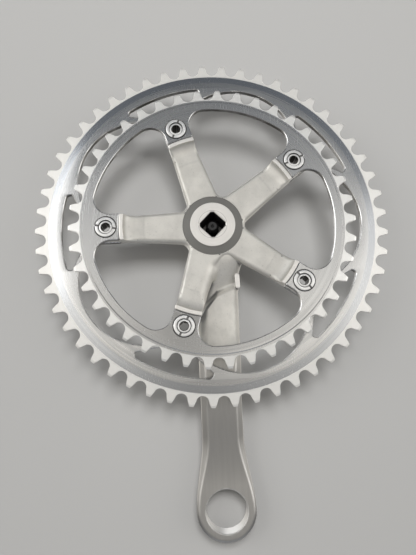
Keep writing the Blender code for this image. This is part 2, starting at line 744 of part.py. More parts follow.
def main():
    clear_scene()
    forged = material("satin aluminium", (0.60, 0.58, 0.55), 1, 0.42)
    ring = material("anodised aluminium", (0.80, 0.79, 0.76), 1, 0.30)
    chrome = material("chromed steel", (0.75, 0.75, 0.76), 1, 0.12)
    steel = material("dark steel", (0.28, 0.27, 0.26), 1, 0.40)
    nylon = material("black nylon", (0.03, 0.03, 0.03), 0, 0.55)
    crank_arm(forged)
    outer_chainring(ring)
    inner_chainring(ring.copy())
    place_in_holes(baked(sleeve_nut(chrome)), "chainring_nut")
    place_in_holes(baked(ring_bolt(chrome.copy())), "chainring_bolt")
    crank_bolt(steel)
    bolt_washers(steel.copy(), nylon)
    release_cap(chrome.copy())


main()
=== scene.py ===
"""Looks of a right-hand road bicycle crank with two chainrings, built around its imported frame.

The frame is in metres, and every size below is in millimetres until a mesh is stored. The
crank axis is the Y axis, +Y points away from the bicycle, and the arm hangs along -Z. A plan
position is an (x, z) pair and a depth is a value of y, so the side towards the bicycle, the
inner side, has the smaller depths.
"""

import logging
from collections.abc import Callable, Sequence
from dataclasses import dataclass
from enum import Enum

import bmesh
import bpy
import numpy as np
from mathutils import Matrix, Vector
from mathutils.geometry import tessellate_polygon


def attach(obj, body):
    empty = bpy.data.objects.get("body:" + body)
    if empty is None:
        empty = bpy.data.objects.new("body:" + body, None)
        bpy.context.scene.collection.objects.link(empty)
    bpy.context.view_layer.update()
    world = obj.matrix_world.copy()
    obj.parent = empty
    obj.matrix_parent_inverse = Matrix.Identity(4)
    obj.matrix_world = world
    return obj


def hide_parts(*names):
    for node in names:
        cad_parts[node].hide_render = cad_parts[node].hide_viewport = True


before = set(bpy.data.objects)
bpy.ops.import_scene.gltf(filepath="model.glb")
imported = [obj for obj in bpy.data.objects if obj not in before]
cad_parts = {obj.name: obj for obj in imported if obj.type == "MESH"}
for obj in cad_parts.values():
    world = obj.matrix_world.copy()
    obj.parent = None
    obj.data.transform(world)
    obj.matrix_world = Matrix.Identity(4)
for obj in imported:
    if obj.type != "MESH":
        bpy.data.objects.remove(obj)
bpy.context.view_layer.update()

log = logging.getLogger("crankset")

MM = 0.001
Field = Callable[[np.ndarray, np.ndarray, np.ndarray], np.ndarray]

# Bolt circle shared by the spider, both rings and their fasteners
BOLT_COUNT = 5
BOLT_RADIUS = 65.0
BOLT_STEP = 2 * np.pi / BOLT_COUNT
BOLT_ANGLES = np.radians(-108.0) + BOLT_STEP * np.arange(BOLT_COUNT)
CHAIN_PITCH = 12.7
CRANK_LENGTH = 170.0
MERGE = 1e-7
TINY = 1e-12

# Material slot of a ring's milled walls, and the arm's point attributes
MILLED = 1
POLISHED = "polished"
HOLLOW = "hollow"


def polar(radius: np.ndarray | float, angle: np.ndarray | float) -> np.ndarray:
    """Plan points (x, z) = (r cos a, r sin a).

    Args:
        radius: distance from the crank axis.
        angle: angle from +X towards +Z, in radians.

    Returns:
        An array of points whose last side is 2.
    """
    radius, angle = np.broadcast_arrays(radius, angle)
    return np.stack([radius * np.cos(angle), radius * np.sin(angle)], axis=-1)


BOLT_CENTRES = polar(BOLT_RADIUS, BOLT_ANGLES)


def turned(points: np.ndarray, angle: float) -> np.ndarray:
    """Plan points turned about the crank axis.

    Args:
        points: (n, 2) points.
        angle: turn from +X towards +Z, in radians.

    Returns:
        The turned points.
    """
    c, s = np.cos(angle), np.sin(angle)
    return points @ np.array([[c, s], [-s, c]])


def arc(centre: Sequence[float], radius: float, start: float, end: float, steps: int) -> np.ndarray:
    """Plan points of an arc, centre + r (cos t, sin t) for t from start to end.

    Args:
        centre: plan point.
        radius: radius of the arc.
        start: first angle in radians.
        end: last angle in radians.
        steps: number of equal steps; both ends are included.

    Returns:
        (steps + 1, 2) points.
    """
    return np.asarray(centre) + polar(radius, np.linspace(start, end, steps + 1))


def line(start: Sequence[float], end: Sequence[float], steps: int) -> np.ndarray:
    """Plan points of a straight line, (1 - t) start + t end.

    Args:
        start: first point.
        end: last point.
        steps: number of equal steps; both ends are included.

    Returns:
        (steps + 1, 2) points.
    """
    share = np.linspace(0, 1, steps + 1)[:, None]
    return (1 - share) * np.asarray(start) + share * np.asarray(end)


def mirrored(half: np.ndarray) -> np.ndarray:
    """A half outline that ends on the +X axis, followed by its mirror image across that axis."""
    return np.concatenate([half, half[-2::-1] * [1, -1]])


def side_normals(points: np.ndarray) -> np.ndarray:
    """Unit normals of a closed plan outline, to the right of its direction.

    The tangent at a point is the difference between the points after and before it, and the
    normal is that tangent turned by a right angle.

    Args:
        points: (n, 2) points of a closed outline.

    Returns:
        (n, 2) unit vectors. They point outwards on an outline that runs anticlockwise.
    """
    ahead = np.roll(points, -1, axis=0) - points
    behind = points - np.roll(points, 1, axis=0)
    ahead /= np.linalg.norm(ahead, axis=1, keepdims=True)
    behind /= np.linalg.norm(behind, axis=1, keepdims=True)
    tangent = ahead + behind
    tangent /= np.linalg.norm(tangent, axis=1, keepdims=True)
    return np.stack([tangent[:, 1], -tangent[:, 0]], axis=1)


def around(steps: int) -> np.ndarray:
    """Equal steps of a full turn, in radians, without its end."""
    return 2 * np.pi * np.arange(steps) / steps


def at_depths(plan: np.ndarray, depth: np.ndarray | float) -> np.ndarray:
    """Positions (x, y, z) of plan points at their depths.

    Args:
        plan: (..., 2) plan points.
        depth: depths that fit the points' layout.

    Returns:
        An array of positions whose last side is 3.
    """
    depth = np.broadcast_to(depth, plan.shape[:-1])
    return np.stack([plan[..., 0], depth, plan[..., 1]], axis=-1)


def hexagon_radius(key: float, turns: np.ndarray) -> np.ndarray:
    """Distance from the middle of a hexagon to its sides.

    It is the half width over the cosine of the angle from the middle of the nearest side.

    Args:
        key: width across the flats.
        turns: directions in radians, from the middle of one side.

    Returns:
        The distance in each direction.
    """
    sixth = np.pi / 3
    return key / 2 / np.cos((turns + sixth / 2) % sixth - sixth / 2)


def eased(share: np.ndarray) -> np.ndarray:
    """The smooth step 3t^2 - 2t^3 of a share held between 0 and 1."""
    share = np.clip(share, 0, 1)
    return share * share * (3 - 2 * share)


def rounded_join(a: np.ndarray, b: np.ndarray, radius: np.ndarray | float) -> np.ndarray:
    """Union of two distance fields whose inner corner is a fillet.

    Where both fields are under the radius, the field is the radius less the length of the
    vector (radius - a, radius - b). Elsewhere it is the smaller of the two.

    Args:
        a: first field.
        b: second field.
        radius: radius of the fillet.

    Returns:
        The joined field.
    """
    near = np.hypot(np.maximum(radius - a, 0), np.maximum(radius - b, 0))
    return np.maximum(radius, np.minimum(a, b)) - near


def rounded_cut(a: np.ndarray, b: np.ndarray, radius: np.ndarray | float) -> np.ndarray:
    """Intersection of two distance fields whose outer edge is a fillet: a mirrored rounded_join."""
    return -rounded_join(-a, -b, radius)


class Shell:
    """Points and faces of one closed surface, gathered before they become a mesh."""

    def __init__(self) -> None:
        """Starts empty."""
        self.points: list[np.ndarray] = []
        self.faces: list[np.ndarray] = []
        self.finishes: list[np.ndarray] = []
        self.count = 0

    def rows(self, points: np.ndarray) -> np.ndarray:
        """Adds points.

        Args:
            points: (..., 3) positions in millimetres.

        Returns:
            The new points' numbers, in the same layout without the last side.
        """
        layout = points.shape[:-1]
        self.points.append(points.reshape(-1, 3))
        number = np.arange(self.count, self.count + int(np.prod(layout))).reshape(layout)
        self.count = int(number.max()) + 1
        return number

    def skin(self, number: np.ndarray, finish: int = 0, closed_rows: bool = False) -> None:
        """Joins neighbouring rows by quads, and wraps round the columns.

        Args:
            number: (rows, columns) point numbers.
            finish: material slot of the quads.
            closed_rows: True if the last row joins the first.
        """
        following = np.roll(number, -1, axis=0) if closed_rows else number[1:]
        first = number if closed_rows else number[:-1]
        quads = [first, np.roll(first, -1, 1), np.roll(following, -1, 1), following]
        self.add(np.stack(quads, axis=-1).reshape(-1, 4), finish)

    def add(self, faces: np.ndarray, finish: int = 0) -> None:
        """Adds faces by their point numbers, all with one material slot."""
        self.faces.append(faces)
        self.finishes.append(np.broadcast_to(finish, len(faces)))

    def fill(self, *loops: np.ndarray) -> None:
        """Fills the flat region inside the first loop and outside the others.

        Args:
            loops: point numbers of each closed loop, all at one depth.
        """
        points = np.concatenate(self.points)
        corners = [[Vector((points[i, 0], points[i, 2], 0)) for i in loop] for loop in loops]
        triangles = np.array(tessellate_polygon(corners))
        self.add(np.concatenate(loops)[triangles])

    def piece(
        self, name: str, finishes: Sequence[bpy.types.Material], sharp: float
    ) -> bpy.types.Object:
        """Makes the object: merged points, outward faces, smooth shading with sharp edges.

        Args:
            name: name of the object.
            finishes: its material slots.
            sharp: angle in degrees above which an edge is shaded sharp.

        Returns:
            The linked object, at the origin.
        """
        mesh = bpy.data.meshes.new(name)
        points = np.concatenate(self.points) * MM
        sizes = np.concatenate([np.full(len(f), f.shape[1]) for f in self.faces])
        corners = np.concatenate([f.reshape(-1) for f in self.faces]).astype(np.int32)
        mesh.vertices.add(len(points))
        mesh.vertices.foreach_set("co", points.astype(np.float32).ravel())
        mesh.loops.add(len(corners))
        mesh.loops.foreach_set("vertex_index", corners)
        mesh.polygons.add(len(sizes))
        starts = np.concatenate([[0], np.cumsum(sizes)[:-1]]).astype(np.int32)
        mesh.polygons.foreach_set("loop_start", starts)
        slots = np.concatenate(self.finishes).astype(np.int32)
        mesh.polygons.foreach_set("material_index", slots)
        mesh.update(calc_edges=True)
        for finish in finishes:
            mesh.materials.append(finish)
        merged = bmesh.new()
        merged.from_mesh(mesh)
        bmesh.ops.remove_doubles(merged, verts=merged.verts, dist=MERGE)
        bmesh.ops.dissolve_degenerate(merged, edges=merged.edges, dist=MERGE)
        bmesh.ops.recalc_face_normals(merged, faces=merged.faces)
        merged.to_mesh(mesh)
        merged.free()
        mesh.shade_smooth()
        mesh.set_sharp_from_angle(angle=np.radians(sharp))
        return linked(name, mesh)


def linked(name: str, data: bpy.types.ID) -> bpy.types.Object:
    """Makes an object of a mesh, light or camera, and links it to the scene."""
    made = bpy.data.objects.new(name, data)
    bpy.context.scene.collection.objects.link(made)
    return made


def lathe(shell: Shell, profile: np.ndarray, steps: int, closed: bool = True) -> np.ndarray:
    """Carries a profile of (radius, depth) points round the crank axis.

    Args:
        shell: surface that the points are added to.
        profile: (n, 2) corners of the section.
        steps: number of positions round the axis.
        closed: True if the last corner joins the first.

    Returns:
        The point numbers, one row for each corner.
    """
    number = shell.rows(at_depths(polar(profile[:, :1], around(steps)), profile[:, 1:]))
    shell.skin(number, closed_rows=closed)
    return number


@dataclass(frozen=True)
class Contour:
    """Finds the closed surface where a field is zero, by dual contouring.

    The field is sampled on a grid. Each grid edge whose ends have opposite signs gets the
    point where the field is zero and the field's gradient there. Each cell that holds such
    edges gets one vertex, at the point nearest to all their tangent planes, so that edges
    stay crisp, and each such edge gets the quad between its four cells.
    """

    low: tuple[float, float, float]
    high: tuple[float, float, float]
    cell: float
    halvings: int = 9
    probe: float = 0.01
    pull: float = 0.04
    inset: float = 0.25

    def gradient(self, field: Field, at: np.ndarray) -> np.ndarray:
        """Unit gradient of the field, by central differences over the probe length."""
        parts = []
        for axis in range(3):
            step = np.zeros(3)
            step[axis] = self.probe
            ahead, behind = (at + step).T, (at - step).T
            parts.append(field(*ahead) - field(*behind))
        slope = np.stack(parts, axis=1)
        return slope / np.maximum(np.linalg.norm(slope, axis=1, keepdims=True), TINY)

    def crossing(self, field: Field, start: np.ndarray, axis: int) -> np.ndarray:
        """Halves each grid edge until its zero is found.

        Args:
            field: the field.
            start: (n, 3) lower ends of the edges.
            axis: direction of the edges.

        Returns:
            (n, 3) points on the surface.
        """
        step = np.zeros(3)
        step[axis] = self.cell
        low, high = np.zeros(len(start)), np.ones(len(start))
        first = field(*start.T) < 0
        for _ in range(self.halvings):
            middle = (low + high) / 2
            same = (field(*(start + middle[:, None] * step).T) < 0) == first
            low, high = np.where(same, middle, low), np.where(same, high, middle)
        return start + ((low + high) / 2)[:, None] * step

    def surface(self, field: Field) -> tuple[np.ndarray, np.ndarray]:
        """The surface of the field.

        Args:
            field: function of x, y and z arrays in millimetres, negative inside.

        Returns:
            (n, 3) vertices and (m, 3) triangles that face outwards.
        """
        low = np.array(self.low)
        counts = np.ceil((np.array(self.high) - low) / self.cell).astype(int) + 1
        axes = [low[i] + self.cell * np.arange(counts[i]) for i in range(3)]
        inside = field(*np.meshgrid(*axes, indexing="ij", sparse=True)) < 0
        cells, quads, points, normals = [], [], [], []
        for axis in range(3):
            b, c = (axis + 1) % 3, (axis + 2) % 3
            upper = np.take(inside, range(1, counts[axis]), axis)
            lower = np.take(inside, range(counts[axis] - 1), axis)
            where = np.argwhere(upper != lower)
            leaving = lower[tuple(where.T)]
            at = self.crossing(field, low + where * self.cell, axis)
            four = np.repeat(where[:, None, :], 4, axis=1)
            four[:, 1:3, b] -= 1
            four[:, 2:4, c] -= 1
            four = np.ravel_multi_index(tuple(np.moveaxis(four, -1, 0)), counts)
            quads.append(np.where(leaving[:, None], four, four[:, ::-1]))
            cells.append(four.ravel())
            points.append(np.repeat(at, 4, axis=0))
            normals.append(np.repeat(self.gradient(field, at), 4, axis=0))
        used, number = np.unique(np.concatenate(cells), return_inverse=True)
        corner = low + np.stack(np.unravel_index(used, counts), axis=1) * self.cell
        vertices, sharpness = self.nearest(
            np.concatenate(points), np.concatenate(normals), number, corner
        )
        quads = np.searchsorted(used, np.concatenate(quads))
        return vertices, self.split(quads, sharpness)

    def nearest(
        self, points: np.ndarray, normals: np.ndarray, number: np.ndarray, corner: np.ndarray
    ) -> tuple[np.ndarray, np.ndarray]:
        """The point of each cell with the least summed squared distance to its tangent planes.

        A small pull towards the mean of the cell's points keeps flat cells steady.

        Args:
            points: surface points.
            normals: their unit normals.
            number: the cell that each one belongs to.
            corner: (cells, 3) lower corners.

        Returns:
            One vertex for each cell, and how sharply the surface bends there.
        """
        count = len(corner)
        share = np.bincount(number, minlength=count)[:, None]

        def total(values: np.ndarray) -> np.ndarray:
            """Sums values over each cell."""
            return np.bincount(number, values, count)

        mean = np.stack([total(points[:, i]) for i in range(3)], axis=1) / share
        along = np.einsum("ij,ij->i", normals, points - mean[number])
        right = np.stack([total(normals[:, i] * along) for i in range(3)], axis=1) / share
        matrix = np.empty((count, 3, 3))
        for i in range(3):
            for j in range(i, 3):
                matrix[:, i, j] = total(normals[:, i] * normals[:, j]) / share[:, 0]
                matrix[:, j, i] = matrix[:, i, j]
        sharpness = 1 - np.linalg.norm(
            np.stack([total(normals[:, i]) for i in range(3)], axis=1) / share, axis=1
        )
        matrix += self.pull * np.eye(3)
        moved = mean + np.linalg.solve(matrix, right[..., None])[..., 0]
        return np.clip(moved, corner, corner + self.cell), sharpness

    def corner_normals(self, field: Field, corners: np.ndarray) -> np.ndarray:
        """The field's direction at each triangle's corners, taken a little inside the triangle.

        Args:
            field: the field.
            corners: (m, 3, 3) corners of the triangles.

        Returns:
            (3 m, 3) unit normals, so that creases stay crisp and curved faces smooth.
        """
        inside = corners + self.inset * (corners.mean(axis=1, keepdims=True) - corners)
        return self.gradient(field, inside.reshape(-1, 3))

    def split(self, quads: np.ndarray, sharpness: np.ndarray) -> np.ndarray:
        """Cuts each quad along the diagonal whose ends lie on the sharper bend."""
        sharp = sharpness[quads]
        other = np.minimum(sharp[:, 1], sharp[:, 3]) > np.minimum(sharp[:, 0], sharp[:, 2])
        turned_quads = np.where(other[:, None], np.roll(quads, -1, axis=1), quads)
        return np.concatenate([turned_quads[:, [0, 1, 2]], turned_quads[:, [0, 2, 3]]])


class Side(Enum):
    """The two sides of the crankset, by the sign of their depth axis."""

    INNER = -1
    OUTER = 1


@dataclass(frozen=True)
class Teeth:
    """Outline of a chainring's teeth: roller seats, convex flanks and rounded tips."""

    count: int
    phase: float
    tip_rise: float = 2.8
    tip_half: float = 1.4
    tip_corner: float = 0.5
    roller: float = 7.9
    seat_turn: float = 58.0
    flank_bulge: float = 0.1
    seat_steps: int = 6
    flank_steps: int = 5

    @property
    def pitch_radius(self) -> float:
        """Radius of the circle through the chain's rollers."""
        return CHAIN_PITCH / (2 * np.sin(np.pi / self.count))

    @property
    def root_radius(self) -> float:
        """Radius at the bottom of the roller seats."""
        return self.pitch_radius - self.roller / 2

    @property
    def tip_radius(self) -> float:
        """Radius of the tooth tips."""
        return self.pitch_radius + self.tip_rise

    def half_tooth(self) -> np.ndarray:
        """One side of a tooth, from the bottom of the gap before it to the middle of its tip.

        The seat is an arc about a point of the pitch circle half a tooth back. The flank is a
        straight line to the tip's corner, bowed outwards by a sine. The tip's corner is an arc.

        Returns:
            (n, 2) points about the +X axis.
        """
        half = np.pi / self.count
        start = -half + np.pi
        seat = arc(
            polar(self.pitch_radius, -half),
            self.roller / 2,
            start,
            start - np.radians(self.seat_turn),
            self.seat_steps,
        )
        corner = [self.tip_radius - self.tip_corner, self.tip_corner - self.tip_half]
        tip = arc(corner, self.tip_corner, -np.pi / 2, 0, 3)
        flank = line(seat[-1], tip[0], self.flank_steps)
        along = (tip[0] - seat[-1]) / np.linalg.norm(tip[0] - seat[-1])
        bow = np.sin(np.pi * np.linspace(0, 1, self.flank_steps + 1))[:, None]
        flank = flank + self.flank_bulge * bow * [along[1], -along[0]]
        return np.concatenate([seat, flank[1:-1], tip])

    def outline(self) -> np.ndarray:
        """The whole toothed outline, anticlockwise: one tooth repeated round the axis."""
        half = self.half_tooth()
        tooth = np.concatenate([half, half[:0:-1] * [1, -1]])
        turns = np.radians(self.phase) + around(self.count)
        angle = np.arctan2(tooth[:, 1], tooth[:, 0]) + turns[:, None]
        radius = np.broadcast_to(np.hypot(tooth[:, 0], tooth[:, 1]), angle.shape)
        return polar(radius.ravel(), angle.ravel())


@dataclass(frozen=True)
class Window:
    """The opening between two tabs of a ring, and the inner edge of the tabs."""

    arc_radius: float
    arc_centre: float
    fillet: float
    tab_half: float = 8.1
    tab_radius: float = 57.4
    tab_corner: float = 0.6

    def half_edge(self) -> np.ndarray:
        """Half of the edge between two tabs, about +X, from the tab's inner corner.

        The fillet's centre lies a fillet's radius off the tab's side, at the distance along the
        tab where it touches the wide arc from inside.

        Returns:
            (n, 2) points that end on the +X axis.
        """
        half = BOLT_STEP / 2
        across = self.tab_half + self.fillet
        along = np.array([np.cos(half), np.sin(half)])
        inward = np.array([np.sin(half), -np.cos(half)])
        middle = np.array([self.arc_centre, 0.0])
        offset = across * inward - middle
        b = offset @ along
        reach = np.sqrt(b * b - offset @ offset + (self.arc_radius - self.fillet) ** 2) - b
        centre = along * reach + across * inward
        touch = np.arctan2(*(centre - middle)[::-1])
        side = np.arctan2(-inward[1], -inward[0])
        start = along * np.sqrt(self.tab_radius**2 - self.tab_half**2) + self.tab_half * inward
        rounding = arc(centre, self.fillet, side, touch, 20)
        wide = arc(middle, self.arc_radius, touch, 0, 28)
        straight = line(start + along * self.tab_corner, rounding[0], 6)
        return np.concatenate([straight, rounding[1:], wide[1:]])

    def outline(self) -> np.ndarray:
        """The closed inner outline, clockwise, so that its normals look into the opening."""
        edge = mirrored(self.half_edge())
        reach = np.arcsin((self.tab_half - self.tab_corner) / self.tab_radius)
        tab = polar(self.tab_radius, np.linspace(-reach, reach, 13))
        parts = []
        for angle in BOLT_ANGLES:
            parts += [turned(tab, angle), turned(edge[::-1], angle + BOLT_STEP / 2)]
        return np.concatenate(parts)[::-1]


@dataclass(frozen=True)
class Slot:
    """The lightening slot outside each tab of the large ring."""

    outer: float
    half_angle: float = 15.4
    length: float = 16.3
    corner: float = 2.75
    floor_half: float = 5.5
    floor_corner: float = 1.1
    side: float = 118.0

    def outline(self, angle: float) -> np.ndarray:
        """A floor, two slanted sides, two round corners and an arc about the crank axis.

        Args:
            angle: direction of the slot.

        Returns:
            Its closed outline, clockwise.
        """
        turn = np.radians(self.half_angle) - self.corner / self.outer
        centre = polar(self.outer - self.corner, turn)
        side = np.radians(self.side)
        rounding = arc(centre, self.corner, side, turn, 12)
        inset = self.floor_corner
        low = [self.outer - self.length + inset, self.floor_half - inset]
        foot = arc(low, inset, np.pi, side, 4)
        outer = arc([0, 0], self.outer, turn, 0, 16)
        half = np.concatenate([foot, rounding, outer[1:]])
        return turned(mirrored(half), angle)


@dataclass(frozen=True)
class Edge:
    """Section of a wall, as (offset into the opening, depth) corners from face to face."""

    corners: tuple[tuple[float, float], ...]

    def carry(self, shell: Shell, outline: np.ndarray) -> tuple[np.ndarray, np.ndarray]:
        """Carries the section along a closed outline: point + offset x normal, at its depth.

        The first and last strips are turned bevels, and the strips between them milled wall.

        Args:
            shell: surface that the wall is added to.
            outline: (n, 2) points whose right-hand normals look into the opening.

        Returns:
            The point numbers on the inner face and on the outer face.
        """
        corners = np.array(self.corners)
        plan = outline + corners[:, :1, None] * side_normals(outline)
        number = shell.rows(at_depths(plan, corners[:, 1:]))
        shell.skin(number[:2])
        shell.skin(number[1:-1], MILLED)
        shell.skin(number[-2:])
        return number[0], number[-1]


def circle(steps: int = 64) -> np.ndarray:
    """A unit circle, clockwise, so that its normals look into the hole."""
    return polar(1.0, -around(steps))


def round_edge(corners: Sequence[tuple[float, float]]) -> Edge:
    """The wall of a round hole, given as (radius, depth) corners, for the unit circle."""
    return Edge(tuple((1.0 - radius, depth) for radius, depth in corners))


@dataclass(frozen=True)
class Chainring:
    """A chainring: a toothed plate that steps up to a thicker web with windows and tabs."""

    name: str
    node: str
    slot_name: str
    teeth: Teeth
    window: Window
    web: tuple[float, float]
    plate: tuple[float, float]
    inner_step: tuple[float, float]
    outer_step: tuple[float, float]
    rim: tuple[float, float]
    hole: tuple[tuple[float, float], ...]
    tip_bevel: float = 1.25
    tip_drop: float = 0.5
    edge_break: float = 0.16
    face_break: float = 0.3
    root_margin: float = 0.5
    slots: Slot | None = None

    def tooth_rows(self, outline: np.ndarray) -> np.ndarray:
        """Rows of points from the inner face over the teeth to the outer face.

        Each column runs outwards at the angle of its point of the outline: up the step from
        the web, across the plate, down the break or the tip's bevel, across the edge, and
        back the same way. The bevel starts on a circle below the tips, so its depth grows
        with the distance past that circle.

        Args:
            outline: the toothed outline.

        Returns:
            (rows, n, 3) points.
        """
        radius = np.hypot(outline[:, 0], outline[:, 1])
        angle = np.arctan2(outline[:, 1], outline[:, 0])
        normal = side_normals(outline)
        bevel = self.teeth.tip_radius - self.tip_bevel
        past = np.maximum(radius - bevel, 0)
        drop = self.edge_break * 0.8 + self.tip_drop * past / self.tip_bevel
        inset = outline - self.edge_break * normal
        reach = np.hypot(inset[:, 0], inset[:, 1])
        inset = inset * (np.minimum(reach, bevel - 0.02) / reach)[:, None]
        near, far = self.plate
        below = self.teeth.root_radius - self.root_margin
        return np.stack(
            [
                at_depths(polar(self.inner_step[0], angle), self.web[0]),
                at_depths(polar(self.inner_step[1], angle), near),
                at_depths(polar(below, angle), near),
                at_depths(inset, near),
                at_depths(outline, near + drop),
                at_depths(outline, far - drop),
                at_depths(inset, far),
                at_depths(polar(below, angle), far),
                at_depths(polar(self.outer_step[1], angle), far),
                at_depths(polar(self.outer_step[0], angle), self.web[1]),
            ]
        )

    def rim_edge(self) -> Edge:
        """The wall of the windows and slots, with the bevel that the turned rim has."""
        width, fall = self.rim
        near, far = self.web
        small = self.face_break
        return Edge(((-width, near), (0, near + fall), (0, far - small), (-small, far)))

    def build(self, finish: bpy.types.Material, milled: bpy.types.Material) -> bpy.types.Object:
        """Makes the ring from its toothed rows, its walls and its two flat faces."""
        shell = Shell()
        teeth = shell.rows(self.tooth_rows(self.teeth.outline()))
        shell.skin(teeth)
        loops = {Side.INNER: [teeth[0]], Side.OUTER: [teeth[-1]]}
        rim = self.rim_edge()
        walls = [(rim, self.window.outline())]
        if self.slots:
            walls += [(rim, self.slots.outline(angle)) for angle in BOLT_ANGLES]
        walls += [(round_edge(self.hole), centre + circle()) for centre in BOLT_CENTRES]
        for edge, outline in walls:
            inner, outer = edge.carry(shell, outline)
            loops[Side.INNER].append(inner)
            loops[Side.OUTER].append(outer)
        for loop in loops.values():
            shell.fill(*loop)
        made = shell.piece(self.name, [finish, milled], sharp=20)
        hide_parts(self.node)
        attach(made, "crank")
        return made


def large_ring() -> Chainring:
    """The outer ring of 53 teeth, with arched windows and a slot outside each tab."""
    teeth = Teeth(count=53, phase=2.4)
    outer = teeth.root_radius - 9.9
    return Chainring(
        name="large_chainring",
        node="outer_chainring_53t",
        slot_name="outer_ring_aluminium",
        teeth=teeth,
        window=Window(arc_radius=40.0, arc_centre=outer - 40.0, fillet=5.0),
        web=(3.6, 7.1),
        plate=(4.5, 6.6),
        inner_step=(teeth.root_radius - 5.8, teeth.root_radius - 1.5),
        outer_step=(teeth.root_radius - 3.7, teeth.root_radius - 2.2),
        rim=(0.4, 0.3),
        hole=((5.5, 3.6), (5.3, 3.8), (5.3, 4.6), (6.3, 4.6), (6.3, 6.9), (6.5, 7.1)),
        slots=Slot(outer=outer),
    )


def small_ring() -> Chainring:
    """The inner ring of 42 teeth, with one wide window between each pair of tabs."""
    teeth = Teeth(count=42, phase=-0.5)
    return Chainring(
        name="small_chainring",
        node="inner_chainring_42t",
        slot_name="inner_ring_aluminium",
        teeth=teeth,
        window=Window(arc_radius=teeth.root_radius - 6.5, arc_centre=0.0, fillet=10.0),
        web=(-3.8, -0.6),
        plate=(-3.4, -1.3),
        inner_step=(teeth.root_radius - 2.1, teeth.root_radius - 1.6),
        outer_step=(teeth.root_radius - 2.8, teeth.root_radius - 1.8),
        rim=(0.35, 0.25),
        hole=((6.85, -3.8), (6.55, -3.5), (6.55, -2.0), (5.3, -2.0), (5.3, -0.8), (5.5, -0.6)),
    )


@dataclass(frozen=True)
class SleeveNut:
    """The sleeve nut of a chainring bolt: a slotted head with a rounded rim, and its sleeve."""

    floor: float = -3.5
    slot_half: float = 0.6
    profile: tuple[tuple[float, float], ...] = (
        (4.3, -4.02),
        (4.5, -4.3),
        (5.75, -4.3),
        (6.0, -4.24),
        (6.17, -4.1),
        (6.25, -3.9),
        (6.25, -2.45),
        (6.1, -2.3),
        (5.0, -2.3),
        (5.0, 4.1),
        (4.8, 4.3),
        (4.3, 4.3),
    )
    slot_columns: int = 4
    plain_columns: int = 22

    def mesh(self, shell: Shell, centre: np.ndarray, angle: float) -> None:
        """Adds the nut to a shell.

        The columns run round the axis. At each radius r the slot's sides lie at the angle
        whose sine is its half width over r, so they stay parallel; between them the depth is
        held at the slot's floor or beyond.

        Args:
            shell: surface that it is added to.
            centre: plan position of its axis.
            angle: direction of the driver slot.
        """
        profile = np.array(self.profile)
        inside = np.linspace(-1, 1, self.slot_columns + 1)
        outside = np.linspace(0, 1, self.plain_columns + 1)
        half = np.arcsin(self.slot_half / profile[:, :1])
        slot = inside * half
        plain = half + outside * (np.pi - 2 * half)
        turns = np.concatenate([slot, plain, slot + np.pi, plain + np.pi], axis=1)
        low = np.repeat([True, False, True, False], [len(inside), len(outside)] * 2)
        depth = np.where(low, np.maximum(profile[:, 1:], self.floor), profile[:, 1:])
        plan = centre + polar(profile[:, :1], turns + angle)
        shell.skin(shell.rows(at_depths(plan, depth)), closed_rows=True)


@dataclass(frozen=True)
class KeyedBolt:
    """A bolt whose hexagonal key socket runs right through it.

    It is given as rows of (radius, depth, share of hexagon).
    """

    rows: tuple[tuple[float, float, float], ...]
    key: float
    columns: int = 72

    def mesh(self, shell: Shell, centre: np.ndarray, angle: float) -> None:
        """Adds the bolt to a shell. A row's radius is the mix of a circle and a hexagon.

        Args:
            shell: surface that it is added to.
            centre: plan position of its axis.
            angle: direction of the middle of one side of the key.
        """
        turns = around(self.columns)
        hexagon = hexagon_radius(self.key, turns)
        radius, depth, share = (np.array(part)[:, None] for part in zip(*self.rows))
        reach = radius * (1 - share) + share * hexagon * radius / (self.key / 2)
        plan = centre + polar(reach, turns + angle)
        shell.skin(shell.rows(at_depths(plan, depth)), closed_rows=True)


RING_BOLT = KeyedBolt(
    rows=(
        (2.5, -3.2, 1.0),
        (2.85, -3.5, 0.55),
        (3.6, -3.5, 0.0),
        (3.9, -3.38, 0.0),
        (4.0, -3.1, 0.0),
        (4.0, 4.9, 0.0),
        (5.9, 4.9, 0.0),
        (6.0, 5.0, 0.0),
        (6.0, 6.75, 0.0),
        (5.9, 6.98, 0.0),
        (5.6, 7.1, 0.0),
        (3.1, 7.1, 0.2),
        (2.5, 6.75, 1.0),
    ),
    key=5.0,
)


@dataclass(frozen=True)
class RingFasteners:
    """The five sleeve nuts and the five bolts that hold both rings to the spider."""

    nut: SleeveNut = SleeveNut()
    bolt: KeyedBolt = RING_BOLT
    nut_turns: tuple[float, ...] = (63.0, -52.0, 24.0, 71.0, -12.0)
    bolt_turns: tuple[float, ...] = (11.0, 40.0, 23.0, 52.0, 5.0)

    def place(self, made: bpy.types.Object, node: str, slot_name: str) -> None:
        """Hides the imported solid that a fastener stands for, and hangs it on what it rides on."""
        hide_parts(node)
        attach(made, "crank")

    def build(self, finish: bpy.types.Material) -> list[bpy.types.Object]:
        """Makes each nut and each bolt at its own hole."""
        made = []
        for number, centre in enumerate(BOLT_CENTRES, 1):
            nut, bolt = Shell(), Shell()
            self.nut.mesh(nut, centre, np.radians(self.nut_turns[number - 1]))
            self.bolt.mesh(bolt, centre, np.radians(self.bolt_turns[number - 1]))
            sleeve = nut.piece(f"sleeve_nut_{number}", [finish], sharp=28)
            screw = bolt.piece(f"ring_bolt_{number}", [finish], sharp=28)
            self.place(sleeve, f"chainring_nut_{number}", "nut_chrome")
            self.place(screw, f"chainring_bolt_{number}", "bolt_chrome")
            made += [sleeve, screw]
        return made


